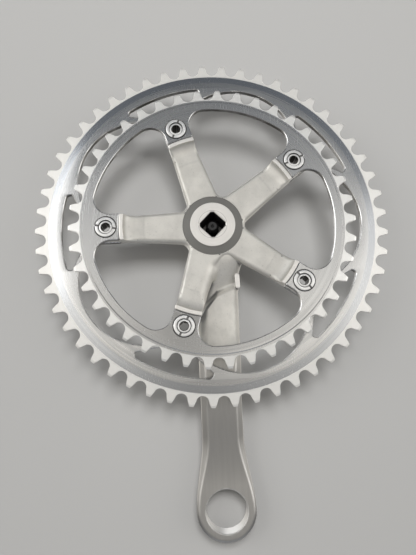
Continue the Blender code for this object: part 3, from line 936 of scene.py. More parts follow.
@dataclass(frozen=True)
class CrankBolt:
    """The captive bolt: threaded shank with a centred tip, flange and keyed head."""

    tip: float = 4.0
    thread_start: float = 5.4
    thread_end: float = 17.0
    thread_pitch: float = 1.0
    thread_depth: float = 0.45
    thread_fade: float = 1.5
    shank: float = 4.0
    flange_face: float = 19.1
    flange_back: float = 21.1
    head_back: float = 24.9
    key: float = 6.0
    key_depth: float = 4.3
    columns: int = 72
    rows_per_turn: int = 8

    def build(self, finish: bpy.types.Material) -> bpy.types.Object:
        """Makes the bolt as rows round its axis.

        On the thread the radius falls by a triangle wave of the depth over the pitch less
        the angle over a full turn, which makes a helix; the wave fades in and out at its ends.

        Args:
            finish: material of the bolt.

        Returns:
            The bolt.
        """
        turns = around(self.columns)
        hexagon = hexagon_radius(self.key, turns)
        steps = int((self.thread_end - self.thread_start) / self.thread_pitch * self.rows_per_turn)
        along = np.linspace(self.thread_start, self.thread_end, steps + 1)[:, None]
        wave = np.abs((along / self.thread_pitch - turns / (2 * np.pi)) % 1 * 2 - 1)
        fade = eased((along - self.thread_start) / self.thread_fade)
        fade = fade * eased((self.thread_end - along) / self.thread_fade)
        thread = self.shank - self.thread_depth * wave * fade

        def plain(radius: np.ndarray | float) -> np.ndarray:
            """One row of equal radius."""
            return np.broadcast_to(radius, self.columns)

        floor = self.head_back - self.key_depth
        front = [(0.25, self.tip + 0.8), (1.1, self.tip), (2.6, self.tip), (2.75, self.tip + 0.1)]
        back = [(4.0, self.flange_face), (8.0, self.flange_face), (8.25, self.flange_face + 0.25)]
        back += [(8.25, self.flange_back - 0.25), (8.0, self.flange_back), (6.4, self.flange_back)]
        back += [(6.2, self.flange_back + 0.3), (6.2, self.head_back - 0.5), (5.7, self.head_back)]
        radii = [plain(radius) for radius, _ in front] + list(thread)
        radii += [plain(radius) for radius, _ in back]
        radii += [hexagon * 1.1, hexagon, hexagon, hexagon * 0.4]
        depths = [depth for _, depth in front] + list(along[:, 0]) + [depth for _, depth in back]
        depths += [self.head_back, self.head_back - 0.35, floor, floor + 0.4]
        shell = Shell()
        number = shell.rows(at_depths(polar(np.array(radii), turns), np.array(depths)[:, None]))
        shell.skin(number)
        shell.fill(number[0])
        shell.fill(number[-1])
        made = shell.piece("captive_crank_bolt", [finish], sharp=30)
        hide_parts("crank_bolt")
        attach(made, "captive_bolt")
        return made


@dataclass(frozen=True)
class FlatRing:
    """A washer: a closed section with broken edges, turned about the crank axis."""

    name: str
    node: str
    slot_name: str
    body: str
    inner: float
    outer: float
    face: float
    back: float
    corner: float
    steps: int = 96

    def section(self) -> np.ndarray:
        """Corners of the section, each broken by a small bevel."""
        c = self.corner
        return np.array(
            [
                (self.inner, self.face + c),
                (self.inner + c, self.face),
                (self.outer - c, self.face),
                (self.outer, self.face + c),
                (self.outer, self.back - c),
                (self.outer - c, self.back),
                (self.inner + c, self.back),
                (self.inner, self.back - c),
            ]
        )

    def build(self, finish: bpy.types.Material) -> bpy.types.Object:
        """Makes the washer."""
        shell = Shell()
        lathe(shell, self.section(), self.steps)
        return self.placed(shell.piece(self.name, [finish], sharp=30))

    def placed(self, made: bpy.types.Object) -> bpy.types.Object:
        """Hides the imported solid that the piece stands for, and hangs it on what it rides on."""
        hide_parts(self.node)
        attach(made, self.body)
        return made


@dataclass(frozen=True)
class PinnedRing(FlatRing):
    """The release cap: a threaded ring with two blind pin holes in its outer face."""

    pin_radius: float = 1.2
    pin_depth: float = 1.5
    pin_circle: float = 8.675
    pin_break: float = 0.15

    def build(self, finish: bpy.types.Material) -> bpy.types.Object:
        """Makes the cap from its turned walls, two flat faces and the pin holes."""
        shell = Shell()
        section = self.section()
        outside = lathe(shell, section[2:6], self.steps, closed=False)
        inside = lathe(shell, section[[1, 0, 7, 6]], self.steps, closed=False)
        back = [outside[-1], inside[-1]]
        radius, floor = self.pin_radius, self.back - self.pin_depth
        wall = [(radius, floor), (radius, self.back - self.pin_break)]
        wall += [(radius + self.pin_break, self.back)]
        for x in (-self.pin_circle, self.pin_circle):
            bottom, top = round_edge(wall).carry(shell, np.array([x, 0.0]) + circle(32))
            shell.fill(bottom)
            back.append(top)
        shell.fill(outside[0], inside[0])
        shell.fill(*back)
        return self.placed(shell.piece(self.name, [finish], sharp=30))


@dataclass(frozen=True)
class Spider:
    """The five-armed spider and the hub in its middle.

    All its faces are functions of the distance r from the crank axis, and its outline is one
    arm repeated about the axis.
    """

    arm_reach: tuple[float, ...] = (14.0, 50.9, 57.1)
    arm_half: tuple[float, ...] = (10.2, 8.2, 8.2)
    arm_fillet: float = 6.0
    tab_half: float = 7.8
    tab_face: float = -0.3
    tab_back: float = 3.3
    face_reach: tuple[float, ...] = (19.4, 46.5)
    face_depth: tuple[float, ...] = (2.5, 1.3)
    scoop_start: float = 46.5
    ledge_start: float = 54.7
    ledge_end: float = 57.1
    ledge_face: float = -3.5
    back_reach: tuple[float, ...] = (17.2, 21.2, 33.85, 54.7)
    back_depth: tuple[float, ...] = (16.0, 12.0, 9.0, 6.8)
    back_scale: float = 0.92
    face_rounding: tuple[float, float] = (2.6, 0.4)
    crisp_start: float = 49.0
    root: tuple[float, float] = (-3.0, -34.0)
    root_reach: float = 16.0
    root_rounding: float = 4.5
    back_rounding: float = 2.5
    boss: float = 13.9
    band: float = 18.7
    band_depth: tuple[float, float] = (0.7, 2.9)
    band_scale: float = 0.9
    hub: float = 17.2
    hub_start: float = 8.0
    hub_back: float = 26.5
    hub_corner: float = 1.2
    hub_fillet: float = 4.0

    def plan(self, r: np.ndarray, angle: np.ndarray) -> tuple[np.ndarray, np.ndarray]:
        """Distances in plan to the outline of the arms and to the outline of the tabs.

        The angle is folded into the sector of the nearest arm. An arm is as wide as its half
        width at that distance along it. It is joined by a fillet to the next arm, which lies
        one sector further on the same side. A tab is a strip with a round end about its bolt.

        Args:
            r: distance from the axis.
            angle: angle from +X towards +Z.

        Returns:
            The two fields, negative inside.
        """
        sector = (angle - BOLT_ANGLES[0] + BOLT_STEP / 2) % BOLT_STEP - BOLT_STEP / 2

        def arm(turn: np.ndarray) -> np.ndarray:
            """Field of one straight arm, at an angle from its middle line."""
            along, across = r * np.cos(turn), np.abs(r * np.sin(turn))
            side = across - np.interp(along, self.arm_reach, self.arm_half)
            return np.hypot(np.maximum(-along, 0), np.maximum(side, 0)) + np.minimum(side, 0)

        arms = rounded_join(arm(sector), arm(BOLT_STEP - np.abs(sector)), self.arm_fillet)
        along, across = r * np.cos(sector), r * np.sin(sector)
        past = along - np.clip(along, self.ledge_start, BOLT_RADIUS)
        return arms, np.hypot(past, across) - self.tab_half

    def solid(self, x: np.ndarray, y: np.ndarray, z: np.ndarray) -> np.ndarray:
        """Field of the spider and its hub, without holes.

        The face is a cone, with a ledge raised above it near the rings whose foot is a quarter
        of an ellipse. The face's edge is rounded, less so near the ledge and more so about the
        root of the crank arm. The back is a chain of cones. The hub's cylinder is filleted to
        the back. A slanted face's field is scaled, which keeps it close to a distance.

        Args:
            x: positions across.
            y: depths.
            z: positions up.

        Returns:
            The field, negative inside.
        """
        r, angle = np.hypot(x, z), np.arctan2(z, x)
        arms, tabs = self.plan(r, angle)
        face = np.interp(r, self.face_reach, self.face_depth) - y
        run, rise = self.ledge_start - self.scoop_start, self.face_depth[1] - self.ledge_face
        bowl = (1 - np.hypot((r - self.scoop_start) / run, (y - self.ledge_face) / rise)) * run
        ledge = np.maximum(np.maximum(self.ledge_face - y, bowl), self.scoop_start - r)
        face = np.minimum(face, ledge)
        back = (y - np.interp(r, self.back_reach, self.back_depth)) * self.back_scale
        share = eased((r - self.crisp_start) / (self.ledge_start - self.crisp_start))
        rounding = self.face_rounding[0] + share * (self.face_rounding[1] - self.face_rounding[0])
        near = 1 - np.hypot(x - self.root[0], z - self.root[1]) / self.root_reach
        rounding = rounding + self.root_rounding * eased(2 * near)
        body = rounded_cut(rounded_cut(face, arms, rounding), back, 0.1)
        body = rounded_cut(body, rounded_cut(back, arms, self.back_rounding), 0.05)
        body = rounded_cut(body, r - self.ledge_end, 0.25)
        tab = np.maximum(np.maximum(self.tab_face - y, y - self.tab_back), self.ledge_start - r)
        body = np.minimum(body, rounded_cut(tab, tabs, 0.3))
        low, high = self.band_depth
        slope = (high - low) / (self.band - self.boss)
        cone = (low + np.maximum(r - self.boss, 0) * slope - y) * self.band_scale
        body = np.maximum(body, -np.maximum(r - self.band, -cone))
        middle = np.maximum(np.maximum(cone, r - self.band), y - self.hub_start)
        boss = rounded_cut(-y, r - self.boss, 0.25)
        body = np.minimum(np.minimum(body, middle), np.maximum(boss, y - self.hub_start))
        barrel = rounded_cut(r - self.hub, y - self.hub_back, self.hub_corner)
        barrel = np.maximum(barrel, self.hub_start - y)
        return rounded_join(body, barrel, self.hub_fillet)


@dataclass(frozen=True)
class Shank:
    """The straight part of the crank arm, from the hub to the pedal eye.

    Its faces are functions of the drop, the distance below the crank axis.
    """

    half: float = 12.4
    eye: float = 17.6
    flare: tuple[float, float] = (128.0, 170.0)
    face: tuple[float, ...] = (4.0, 9.5, 16.8)
    face_start: float = 18.0
    face_turns: tuple[float, float] = (80.0, 156.0)
    back: tuple[float, float] = (26.2, 28.0)
    face_bevel: tuple[float, float] = (3.5, 3.2)
    back_bevel: tuple[float, float] = (4.9, 3.8)
    eye_bevel: tuple[float, float] = (1.2, 2.4)
    rounding: tuple[float, float] = (2.6, 0.6)
    valley: float = 14.6
    valley_end: float = 44.0
    shoulder_across: tuple[float, ...] = (-10.0, -6.5, 0.9, 14.3, 20.0)
    shoulder_drop: tuple[float, ...] = (57.0, 52.3, 44.4, 38.5, 37.0)
    shoulder_fall: float = 5.6
    root_flare: tuple[float, float, float] = (34.0, 24.0, 2.2)
    root_limit: float = 1.5
    right_drops: tuple[float, ...] = (30.0, 42.0, 80.0, 104.0)
    right_extra: tuple[float, ...] = (2.5, 2.1, 1.1, 0.0)
    soft_edge: float = 1.4
    soft_reach: float = 6.0
    soft_drops: tuple[float, float] = (62.0, 88.0)
    top: float = -10.0

    def plan(self, x: np.ndarray, z: np.ndarray) -> np.ndarray:
        """Distance in plan: straight sides that widen to the eye, and a round end about it.

        The right side stands a little further out towards the root, and there it also sweeps
        out by the square of the rise.
        """
        wide = self.half + (self.eye - self.half) * eased(self.share(z, *self.flare))
        start, full, reach = self.root_flare
        rise = np.clip(self.share(z, start, full), 0, self.root_limit)
        extra = np.interp(-z, self.right_drops, self.right_extra) + reach * rise**2
        wide = wide + np.where(x > 0, extra, 0.0)
        end = np.hypot(x, z + CRANK_LENGTH) - self.eye
        return np.where(z > -CRANK_LENGTH, np.abs(x) - wide, end)

    @staticmethod
    def share(z: np.ndarray, start: float, end: float) -> np.ndarray:
        """How far the drop has gone from start to end."""
        return (-z - start) / (end - start)

    def face_depth(self, x: np.ndarray, z: np.ndarray) -> np.ndarray:
        """Depth of the face: a valley under the hub, a slanted shoulder, and the face below it.

        The valley falls with the drop. Above the shoulder's line the face eases up out of it
        to its own depth, which is steady at first and eases down towards the eye.
        """
        near, middle, far = self.face
        fall = eased(self.share(z, self.face_start, self.valley_end))
        valley = near + (self.valley - near) * fall
        face = middle + (far - middle) * eased(self.share(z, *self.face_turns))
        shoulder = np.interp(x, self.shoulder_across, self.shoulder_drop)
        inside = eased((-z - shoulder) / self.shoulder_fall + 1.0)
        return valley + (face - valley) * inside

    def back_depth(self, z: np.ndarray) -> np.ndarray:
        """Depth of the back: a straight line along the arm."""
        low, high = self.back
        return low + (high - low) * np.clip(-z / CRANK_LENGTH, 0, 1)

    def solid(self, x: np.ndarray, y: np.ndarray, z: np.ndarray) -> np.ndarray:
        """Field of the arm, without holes: sides, face, back and the four bevels between them.

        The edges are rounded softly near the root, more so on the right, and crisply below it.

        Args:
            x: positions across.
            y: depths.
            z: positions up.

        Returns:
            The field, negative inside.
        """
        side = self.plan(x, z)
        to_eye = eased(self.share(z, *self.flare))
        crisp = eased(self.share(z, *self.soft_drops))
        soft = self.rounding[0] + self.soft_edge * np.clip(x / self.soft_reach, 0, 1)
        radius = soft + (self.rounding[1] - soft) * crisp
        planes = []
        for over, (wide, deep), small in (
            (self.face_depth(x, z) - y, self.face_bevel, self.eye_bevel[0]),
            (y - self.back_depth(z), self.back_bevel, self.eye_bevel[1]),
        ):
            wide, deep = wide + (small - wide) * to_eye, deep + (small - deep) * to_eye
            bevel = (side / wide + over / deep + 1) * wide * deep / np.hypot(wide, deep)
            planes.append(rounded_cut(rounded_cut(over, bevel, radius), side, radius))
        return np.maximum(np.maximum(*planes), z - self.top)


@dataclass(frozen=True)
class CrankArm:
    """The forged crank: spider, hub and arm in one piece, with its socket, bores and holes."""

    spider: Spider = Spider()
    shank: Shank = Shank()
    cell: float = 0.64
    join: float = 5.0
    join_drops: tuple[float, float] = (20.0, 34.0)
    square_half: float = 6.35
    square_corner: float = 1.0
    square_taper: float = 0.035
    square_mouth: float = 0.5
    extractor: float = 11.15
    extractor_start: float = 17.0
    extractor_mouth: float = 0.6
    pedal: float = 12.3
    pedal_scale: float = 0.75
    chamfer: float = 0.35
    hole: float = 5.3
    opening_edge: float = 0.12
    pad_centre: tuple[float, float] = (13.8, -34.5)
    pad_half: tuple[float, float] = (1.4, 4.6)
    pad_depths: tuple[float, float] = (8.4, 18.0)
    pad_rounding: tuple[float, float] = (1.2, 0.4)
    pad_join: float = 1.0
    pad_side: float = 10.4
    cut_facing: float = -0.6
    boss_depth: float = 3.2
    ledge_depth: float = -3.3
    tab_depth: float = 3.6
    polish_facing: tuple[float, float] = (0.05, 0.55)
    hollow_steps: tuple[float, ...] = (2.5, 5.0, 9.0)

    def openings(self, x: np.ndarray, y: np.ndarray, z: np.ndarray) -> np.ndarray:
        """Field of what is cut away: the square socket, extractor bore, pedal eye and bolt holes.

        The socket is a square on its corner, which narrows with depth and has flats for corners.

        Args:
            x: positions across.
            y: depths.
            z: positions up.

        Returns:
            The field, negative inside an opening.
        """
        half = self.square_half - self.square_taper * y + np.maximum(self.square_mouth - y, 0)
        flat = half * np.sqrt(2) - self.square_corner
        square = (np.abs(x) + np.abs(z)) / np.sqrt(2) - half
        square = np.maximum(square, np.maximum(np.abs(x), np.abs(z)) - flat)
        square = np.maximum(square, y - self.extractor_start - 1)
        r = np.hypot(x, z)
        wide = self.extractor + np.maximum(y - self.spider.hub_back + self.extractor_mouth, 0)
        bore = np.maximum(r - wide, self.extractor_start - y)
        above = self.chamfer - (y - self.shank.face_depth(x, z))
        below = self.chamfer - (self.shank.back_depth(z) - y)
        flare = np.maximum(np.maximum(above, below), 0)
        pedal = (np.hypot(x, z + CRANK_LENGTH) - self.pedal - flare) * self.pedal_scale
        angle = np.arctan2(z, x) - BOLT_ANGLES[0] + BOLT_STEP / 2
        angle = angle % BOLT_STEP - BOLT_STEP / 2
        holes = np.hypot(r * np.cos(angle) - BOLT_RADIUS, r * np.sin(angle)) - self.hole
        return np.minimum(np.minimum(square, bore), np.minimum(pedal, holes))

    def facet(self, x: np.ndarray, y: np.ndarray, z: np.ndarray) -> np.ndarray:
        """Field of the small machined pad beside the root of the arm, a block with broken edges."""
        wide = np.abs(x - self.pad_centre[0]) - self.pad_half[0]
        high = np.abs(z - self.pad_centre[1]) - self.pad_half[1]
        deep = np.maximum(self.pad_depths[0] - y, y - self.pad_depths[1])
        corner, edge = self.pad_rounding
        return rounded_cut(rounded_cut(wide, high, corner), deep, edge)

    def forging(self, x: np.ndarray, y: np.ndarray, z: np.ndarray) -> np.ndarray:
        """Field of the spider and the arm, joined by a fillet."""
        radius = 0.3 + self.join * eased(Shank.share(z, *self.join_drops))
        return rounded_join(self.spider.solid(x, y, z), self.shank.solid(x, y, z), radius)

    def field(self, x: np.ndarray, y: np.ndarray, z: np.ndarray) -> np.ndarray:
        """Field of the finished crank: the forging with its pad, less the openings."""
        body = rounded_join(self.forging(x, y, z), self.facet(x, y, z), self.pad_join)
        return rounded_cut(body, -self.openings(x, y, z), self.opening_edge)

    def machined(self, centre: np.ndarray, normal: np.ndarray) -> np.ndarray:
        """True for each face that a tool has cut bright after forging.

        Args:
            centre: (n, 3) middles of the faces.
            normal: (n, 3) unit normals.

        Returns:
            (n,) truth values.
        """
        x, y, z = centre.T
        r = np.hypot(x, z)
        boss = (r < self.spider.band + 0.15) & (y < self.boss_depth)
        ledge = (r > self.spider.ledge_start - 0.1) & (y < self.ledge_depth)
        tab = (r > self.spider.ledge_end - 0.3) & (y < self.tab_depth)
        bores = self.openings(x, y, z) < 0.2
        facet = (self.facet(x, y, z) < 0.3) & (x > self.pad_side)
        return boss | ledge | tab | bores | facet & (normal[:, 1] < self.cut_facing)

    def hollow(self, vertices: np.ndarray, outward: np.ndarray) -> np.ndarray:
        """How deep in a recess of the forging each vertex lies.

        It is the mean of 1 less the field over the distance stepped outwards, which is 0 on a
        flat or round face.

        Args:
            vertices: (n, 3) positions on the surface.
            outward: (n, 3) unit normals there.

        Returns:
            (n,) numbers from 0 to 1.
        """
        steps = [vertices + reach * outward for reach in self.hollow_steps]
        shares = [1 - self.forging(*at.T) / reach for at, reach in zip(steps, self.hollow_steps)]
        return np.clip(np.mean(shares, axis=0), 0, 1)

    @staticmethod
    def mark(mesh: bpy.types.Mesh, name: str, values: np.ndarray) -> None:
        """Stores one number for each vertex of a mesh, as the attribute a material reads."""
        stored = mesh.attributes.new(name, "FLOAT", "POINT")
        stored.data.foreach_set("value", values.astype(np.float32))

    def build(self, forged: bpy.types.Material, cut: bpy.types.Material) -> bpy.types.Object:
        """Makes the crank from its field, and gives the cut faces their own finish."""
        room = 1.5 * self.cell
        reach = BOLT_RADIUS + self.spider.tab_half + room
        contour = Contour(
            low=(-reach, self.spider.ledge_face - room, -CRANK_LENGTH - self.shank.eye - room),
            high=(reach, self.shank.back[1] + room, reach),
            cell=self.cell,
        )
        vertices, triangles = contour.surface(self.field)
        corners = vertices[triangles]
        normal = np.cross(corners[:, 1] - corners[:, 0], corners[:, 2] - corners[:, 0])
        normal /= np.maximum(np.linalg.norm(normal, axis=1, keepdims=True), TINY)
        slots = self.machined(corners.mean(axis=1), normal).astype(np.int32)
        mesh = bpy.data.meshes.new("forged_crank_arm")
        mesh.from_pydata(vertices * MM, [], triangles)
        mesh.materials.append(forged)
        mesh.materials.append(cut)
        mesh.polygons.foreach_set("material_index", slots)
        mesh.shade_smooth()
        outward = contour.gradient(self.field, vertices)
        start, full = self.polish_facing
        self.mark(mesh, POLISHED, eased((outward[:, 1] - start) / (full - start)))
        # Painted shade: how hollow each point lies, which the forged material turns into a darker
        # colour in recesses
        self.mark(mesh, HOLLOW, self.hollow(vertices, outward))
        mesh.normals_split_custom_set(contour.corner_normals(self.field, corners))
        made = linked(mesh.name, mesh)
        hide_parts("crank_arm")
        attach(made, "crank")
        return made


Feed = float | Sequence[float] | bpy.types.NodeSocket
Colour = tuple[float, float, float, float]
TONE_SPAN = (0.3, 0.7)


def scaled(colour: Colour, share: float) -> Colour:
    """A colour multiplied by a share, held at 1."""
    return tuple(min(1.0, c * share) for c in colour[:3]) + (1.0,)


class Wiring:
    """Places nodes in one tree and feeds their sockets."""

    def __init__(self, tree: bpy.types.NodeTree) -> None:
        """Works in the given tree."""
        self.tree = tree

    def place(
        self, kind: str, feeds: dict[str | int, Feed] | None = None, **settings: object
    ) -> bpy.types.Node:
        """Adds a node.

        Args:
            kind: Blender's name for the node.
            feeds: what each named or numbered input gets, a value or an output.
            settings: properties of the node.

        Returns:
            The node.
        """
        node = self.tree.nodes.new(kind)
        for name, value in settings.items():
            setattr(node, name, value)
        for name, value in (feeds or {}).items():
            self.feed(node.inputs[name], value)
        return node

    def feed(self, socket: bpy.types.NodeSocket, value: Feed) -> None:
        """Links an output to a socket, or sets the socket's own value."""
        if isinstance(value, bpy.types.NodeSocket):
            self.tree.links.new(value, socket)
        else:
            socket.default_value = value

    def math(self, operation: str, *values: Feed) -> bpy.types.NodeSocket:
        """One sum on numbers."""
        feeds = dict(enumerate(values))
        return self.place("ShaderNodeMath", feeds, operation=operation).outputs[0]

    def ramp(
        self, value: Feed, start: float, end: float, low: Feed = 0.0, high: Feed = 1.0
    ) -> bpy.types.NodeSocket:
        """A smooth step from low to high as the value goes from start to end."""
        feeds = {0: value, 1: start, 2: end, 3: low, 4: high}
        return self.place("ShaderNodeMapRange", feeds, interpolation_type="SMOOTHSTEP").outputs[0]

    def varied(self, tone: Feed, low: Feed = 0.0, high: Feed = 1.0) -> bpy.types.NodeSocket:
        """A smooth step from low to high over the middle of a cloudy tone."""
        return self.ramp(tone, *TONE_SPAN, low, high)

    def band(self, value: Feed, start: float, end: float, soft: float) -> bpy.types.NodeSocket:
        """A mask that is 1 where the value lies between start and end, with soft sides."""
        rise = self.ramp(value, start - soft, start + soft)
        fall = self.ramp(value, end - soft, end + soft, 1.0, 0.0)
        return self.math("MULTIPLY", rise, fall)

    def blend(self, share: Feed, first: Feed, second: Feed) -> bpy.types.NodeSocket:
        """Mixes two colours."""
        feeds = {0: share, 6: first, 7: second}
        return self.place("ShaderNodeMix", feeds, data_type="RGBA").outputs[2]

    def noise(
        self, vector: Feed, scale: Feed, detail: float = 2.0, rough: float = 0.5
    ) -> bpy.types.NodeSocket:
        """Cloudy noise about a half."""
        feeds = {"Vector": vector, "Scale": scale, "Detail": detail, "Roughness": rough}
        return self.place("ShaderNodeTexNoise", feeds).outputs[0]

    def stretched(
        self, vector: Feed, scale: Sequence[float], turn: float = 0.0
    ) -> bpy.types.NodeSocket:
        """Coordinates scaled along each axis, after a turn about the depth axis."""
        feeds = {"Vector": vector, "Scale": scale, "Rotation": (0.0, turn, 0.0)}
        return self.place("ShaderNodeMapping", feeds).outputs[0]

    def combined(self, x: Feed, y: Feed, z: Feed) -> bpy.types.NodeSocket:
        """A vector from three numbers."""
        return self.place("ShaderNodeCombineXYZ", {0: x, 1: y, 2: z}).outputs[0]

    def group(self, effect: "Effect", **feeds: Feed) -> bpy.types.Node:
        """Places a shared effect with its own values."""
        return self.place("ShaderNodeGroup", feeds, node_tree=effect.tree)


class Effect:
    """A shader node group that several materials share."""

    name = "effect"
    inputs: dict[str, float] = {}
    outputs: tuple[str, ...] = ()

    def __init__(self) -> None:
        """Builds the group's tree, its sockets and its nodes."""
        self.tree = bpy.data.node_groups.new(self.name, "ShaderNodeTree")
        sockets = self.tree.interface
        sockets.new_socket("Vector", in_out="INPUT", socket_type="NodeSocketVector")
        for name, value in self.inputs.items():
            socket = sockets.new_socket(name, in_out="INPUT", socket_type="NodeSocketFloat")
            socket.default_value = value
        for name in self.outputs:
            sockets.new_socket(name, in_out="OUTPUT", socket_type="NodeSocketFloat")
        wires = Wiring(self.tree)
        given = wires.place("NodeGroupInput").outputs
        result = wires.place("NodeGroupOutput")
        for name, value in self.work(wires, given).items():
            wires.feed(result.inputs[name], value)

    def work(self, wires: Wiring, given: bpy.types.NodeOutputs) -> dict[str, Feed]:
        """Places the effect's nodes and says what each output gets."""
        raise NotImplementedError


class AxisPosition(Effect):
    """Distance from the crank axis, angle about it and depth, in millimetres and radians."""

    name = "axis_position"
    outputs = ("Radius", "Angle", "Depth")

    def work(self, wires: Wiring, given: bpy.types.NodeOutputs) -> dict[str, Feed]:
        """Radius is the length of (x, z), and the angle runs from +X towards +Z."""
        feeds = {0: given["Vector"], 1: (1 / MM, 1 / MM, 1 / MM)}
        scaled = wires.place("ShaderNodeVectorMath", feeds, operation="MULTIPLY").outputs[0]
        x, y, z = wires.place("ShaderNodeSeparateXYZ", {0: scaled}).outputs
        square = wires.math("ADD", wires.math("MULTIPLY", x, x), wires.math("MULTIPLY", z, z))
        return {
            "Radius": wires.math("SQRT", square),
            "Angle": wires.math("ARCTAN2", z, x),
            "Depth": y,
        }


class BoltPosition(Effect):
    """Distance from the nearest ring bolt's axis and the angle about it."""

    name = "bolt_position"
    inputs = {"Radius": 0.0, "Angle": 0.0}
    outputs = ("Radius", "Angle")

    def work(self, wires: Wiring, given: bpy.types.NodeOutputs) -> dict[str, Feed]:
        """The angle is folded into one sector, then measured from the sector's bolt."""
        turn = wires.math("SUBTRACT", given["Angle"], float(BOLT_ANGLES[0] - BOLT_STEP / 2))
        turn = wires.math("FLOORED_MODULO", turn, float(BOLT_STEP))
        turn = wires.math("SUBTRACT", turn, float(BOLT_STEP / 2))
        u = wires.math("MULTIPLY", given["Radius"], wires.math("COSINE", turn))
        u = wires.math("SUBTRACT", u, BOLT_RADIUS)
        v = wires.math("MULTIPLY", given["Radius"], wires.math("SINE", turn))
        square = wires.math("ADD", wires.math("MULTIPLY", u, u), wires.math("MULTIPLY", v, v))
        return {"Radius": wires.math("SQRT", square), "Angle": wires.math("ARCTAN2", v, u)}


class TurnedMarks(Effect):
    """Concentric tool marks: fine grooves of unequal depth that fade along the turn."""

    name = "turned_marks"
    inputs = {"Radius": 0.0, "Angle": 0.0, "Depth": 0.0, "Pitch": 0.25, "Wander": 1.5}
    outputs = ("Height", "Tone")

    def work(self, wires: Wiring, given: bpy.types.NodeOutputs) -> dict[str, Feed]:
        """Noise that changes fast along the radius and the depth, and slowly along the angle."""
        across = wires.math("DIVIDE", given["Radius"], given["Pitch"])
        deep = wires.math("DIVIDE", given["Depth"], given["Pitch"])
        across = wires.math("ADD", across, deep)
        u = wires.math("MULTIPLY", wires.math("COSINE", given["Angle"]), given["Wander"])
        v = wires.math("MULTIPLY", wires.math("SINE", given["Angle"]), given["Wander"])
        fine = wires.noise(wires.combined(across, u, v), 1.0, 1.0)
        broad = wires.noise(wires.combined(wires.math("MULTIPLY", across, 0.11), u, v), 1.0, 3.0)
        return {"Height": fine, "Tone": broad}


class BlastedGrain(Effect):
    """Blasted, tumbled metal: fine pits, soft dimples and cloudy tone."""

    name = "blasted_grain"
    inputs = {"Grain": 2200.0}
    outputs = ("Height", "Tone", "Pits")

    def work(self, wires: Wiring, given: bpy.types.NodeOutputs) -> dict[str, Feed]:
        """Sums fine and coarse noise; pits are the lowest cells of the fine noise."""
        fine = wires.noise(given["Vector"], given["Grain"], 3.0, 0.6)
        coarse = wires.noise(given["Vector"], 420.0, 2.0, 0.5)
        cloud = wires.noise(given["Vector"], 75.0, 4.0, 0.6)
        height = wires.math("ADD", fine, wires.math("MULTIPLY", coarse, 0.9))
        pits = wires.ramp(wires.noise(given["Vector"], 900.0, 2.0, 0.7), 0.30, 0.36, 1.0, 0.0)
        return {"Height": height, "Tone": cloud, "Pits": pits}


class FineScratches(Effect):
    """Hairline scratches from handling, in three directions, in patches."""

    name = "fine_scratches"
    inputs = {"Amount": 0.5}
    outputs = ("Mask",)

    def work(self, wires: Wiring, given: bpy.types.NodeOutputs) -> dict[str, Feed]:
        """Thin level lines of noise stretched 22 to 1 along each direction."""
        lines = []
        for turn, scale in ((0.6, 1900.0), (-0.9, 1500.0), (1.45, 1700.0)):
            long = wires.stretched(given["Vector"], (scale, scale, scale / 22), turn)
            field = wires.noise(long, 1.0, 1.0)
            lines.append(wires.ramp(field, 0.675, 0.72))
        both = wires.math("MAXIMUM", wires.math("MAXIMUM", lines[0], lines[1]), lines[2])
        patch = wires.ramp(wires.noise(given["Vector"], 38.0, 2.0), 0.42, 0.62)
        mask = wires.math("MULTIPLY", both, patch)
        return {"Mask": wires.math("MULTIPLY", mask, given["Amount"])}


class BrushedGrain(Effect):
    """Lengthwise polishing lines down the crank arm."""

    name = "brushed_grain"
    inputs = {"Fineness": 2600.0}
    outputs = ("Height", "Tone")

    def work(self, wires: Wiring, given: bpy.types.NodeOutputs) -> dict[str, Feed]:
        """Noise stretched 40 to 1 along the arm."""
        lengthwise = wires.stretched(given["Vector"], (1.0, 1.0, 0.025))
        fine = wires.noise(lengthwise, given["Fineness"], 2.0, 0.6)
        return {"Height": fine, "Tone": wires.noise(lengthwise, 420.0, 2.0)}


class Effects:
    """The shared effects, each built once."""

    def __init__(self) -> None:
        """Builds every effect."""
        self.axis = AxisPosition()
        self.bolt = BoltPosition()
        self.turned = TurnedMarks()
        self.blasted = BlastedGrain()
        self.scratches = FineScratches()
        self.brushed = BrushedGrain()


class Centre(Enum):
    """What a turned surface was turned about."""

    CRANK = "crank"
    BOLT = "bolt"


@dataclass(frozen=True)
class Tint:
    """A band of radii, within two depths if given, with its own colour and added roughness.

    Its metallic value replaces the metal's own as far as the share goes.
    """

    start: float
    end: float
    soft: float
    colour: Colour
    share: float
    roughness: float
    metallic: float = 1.0
    depths: tuple[float, float] | None = None


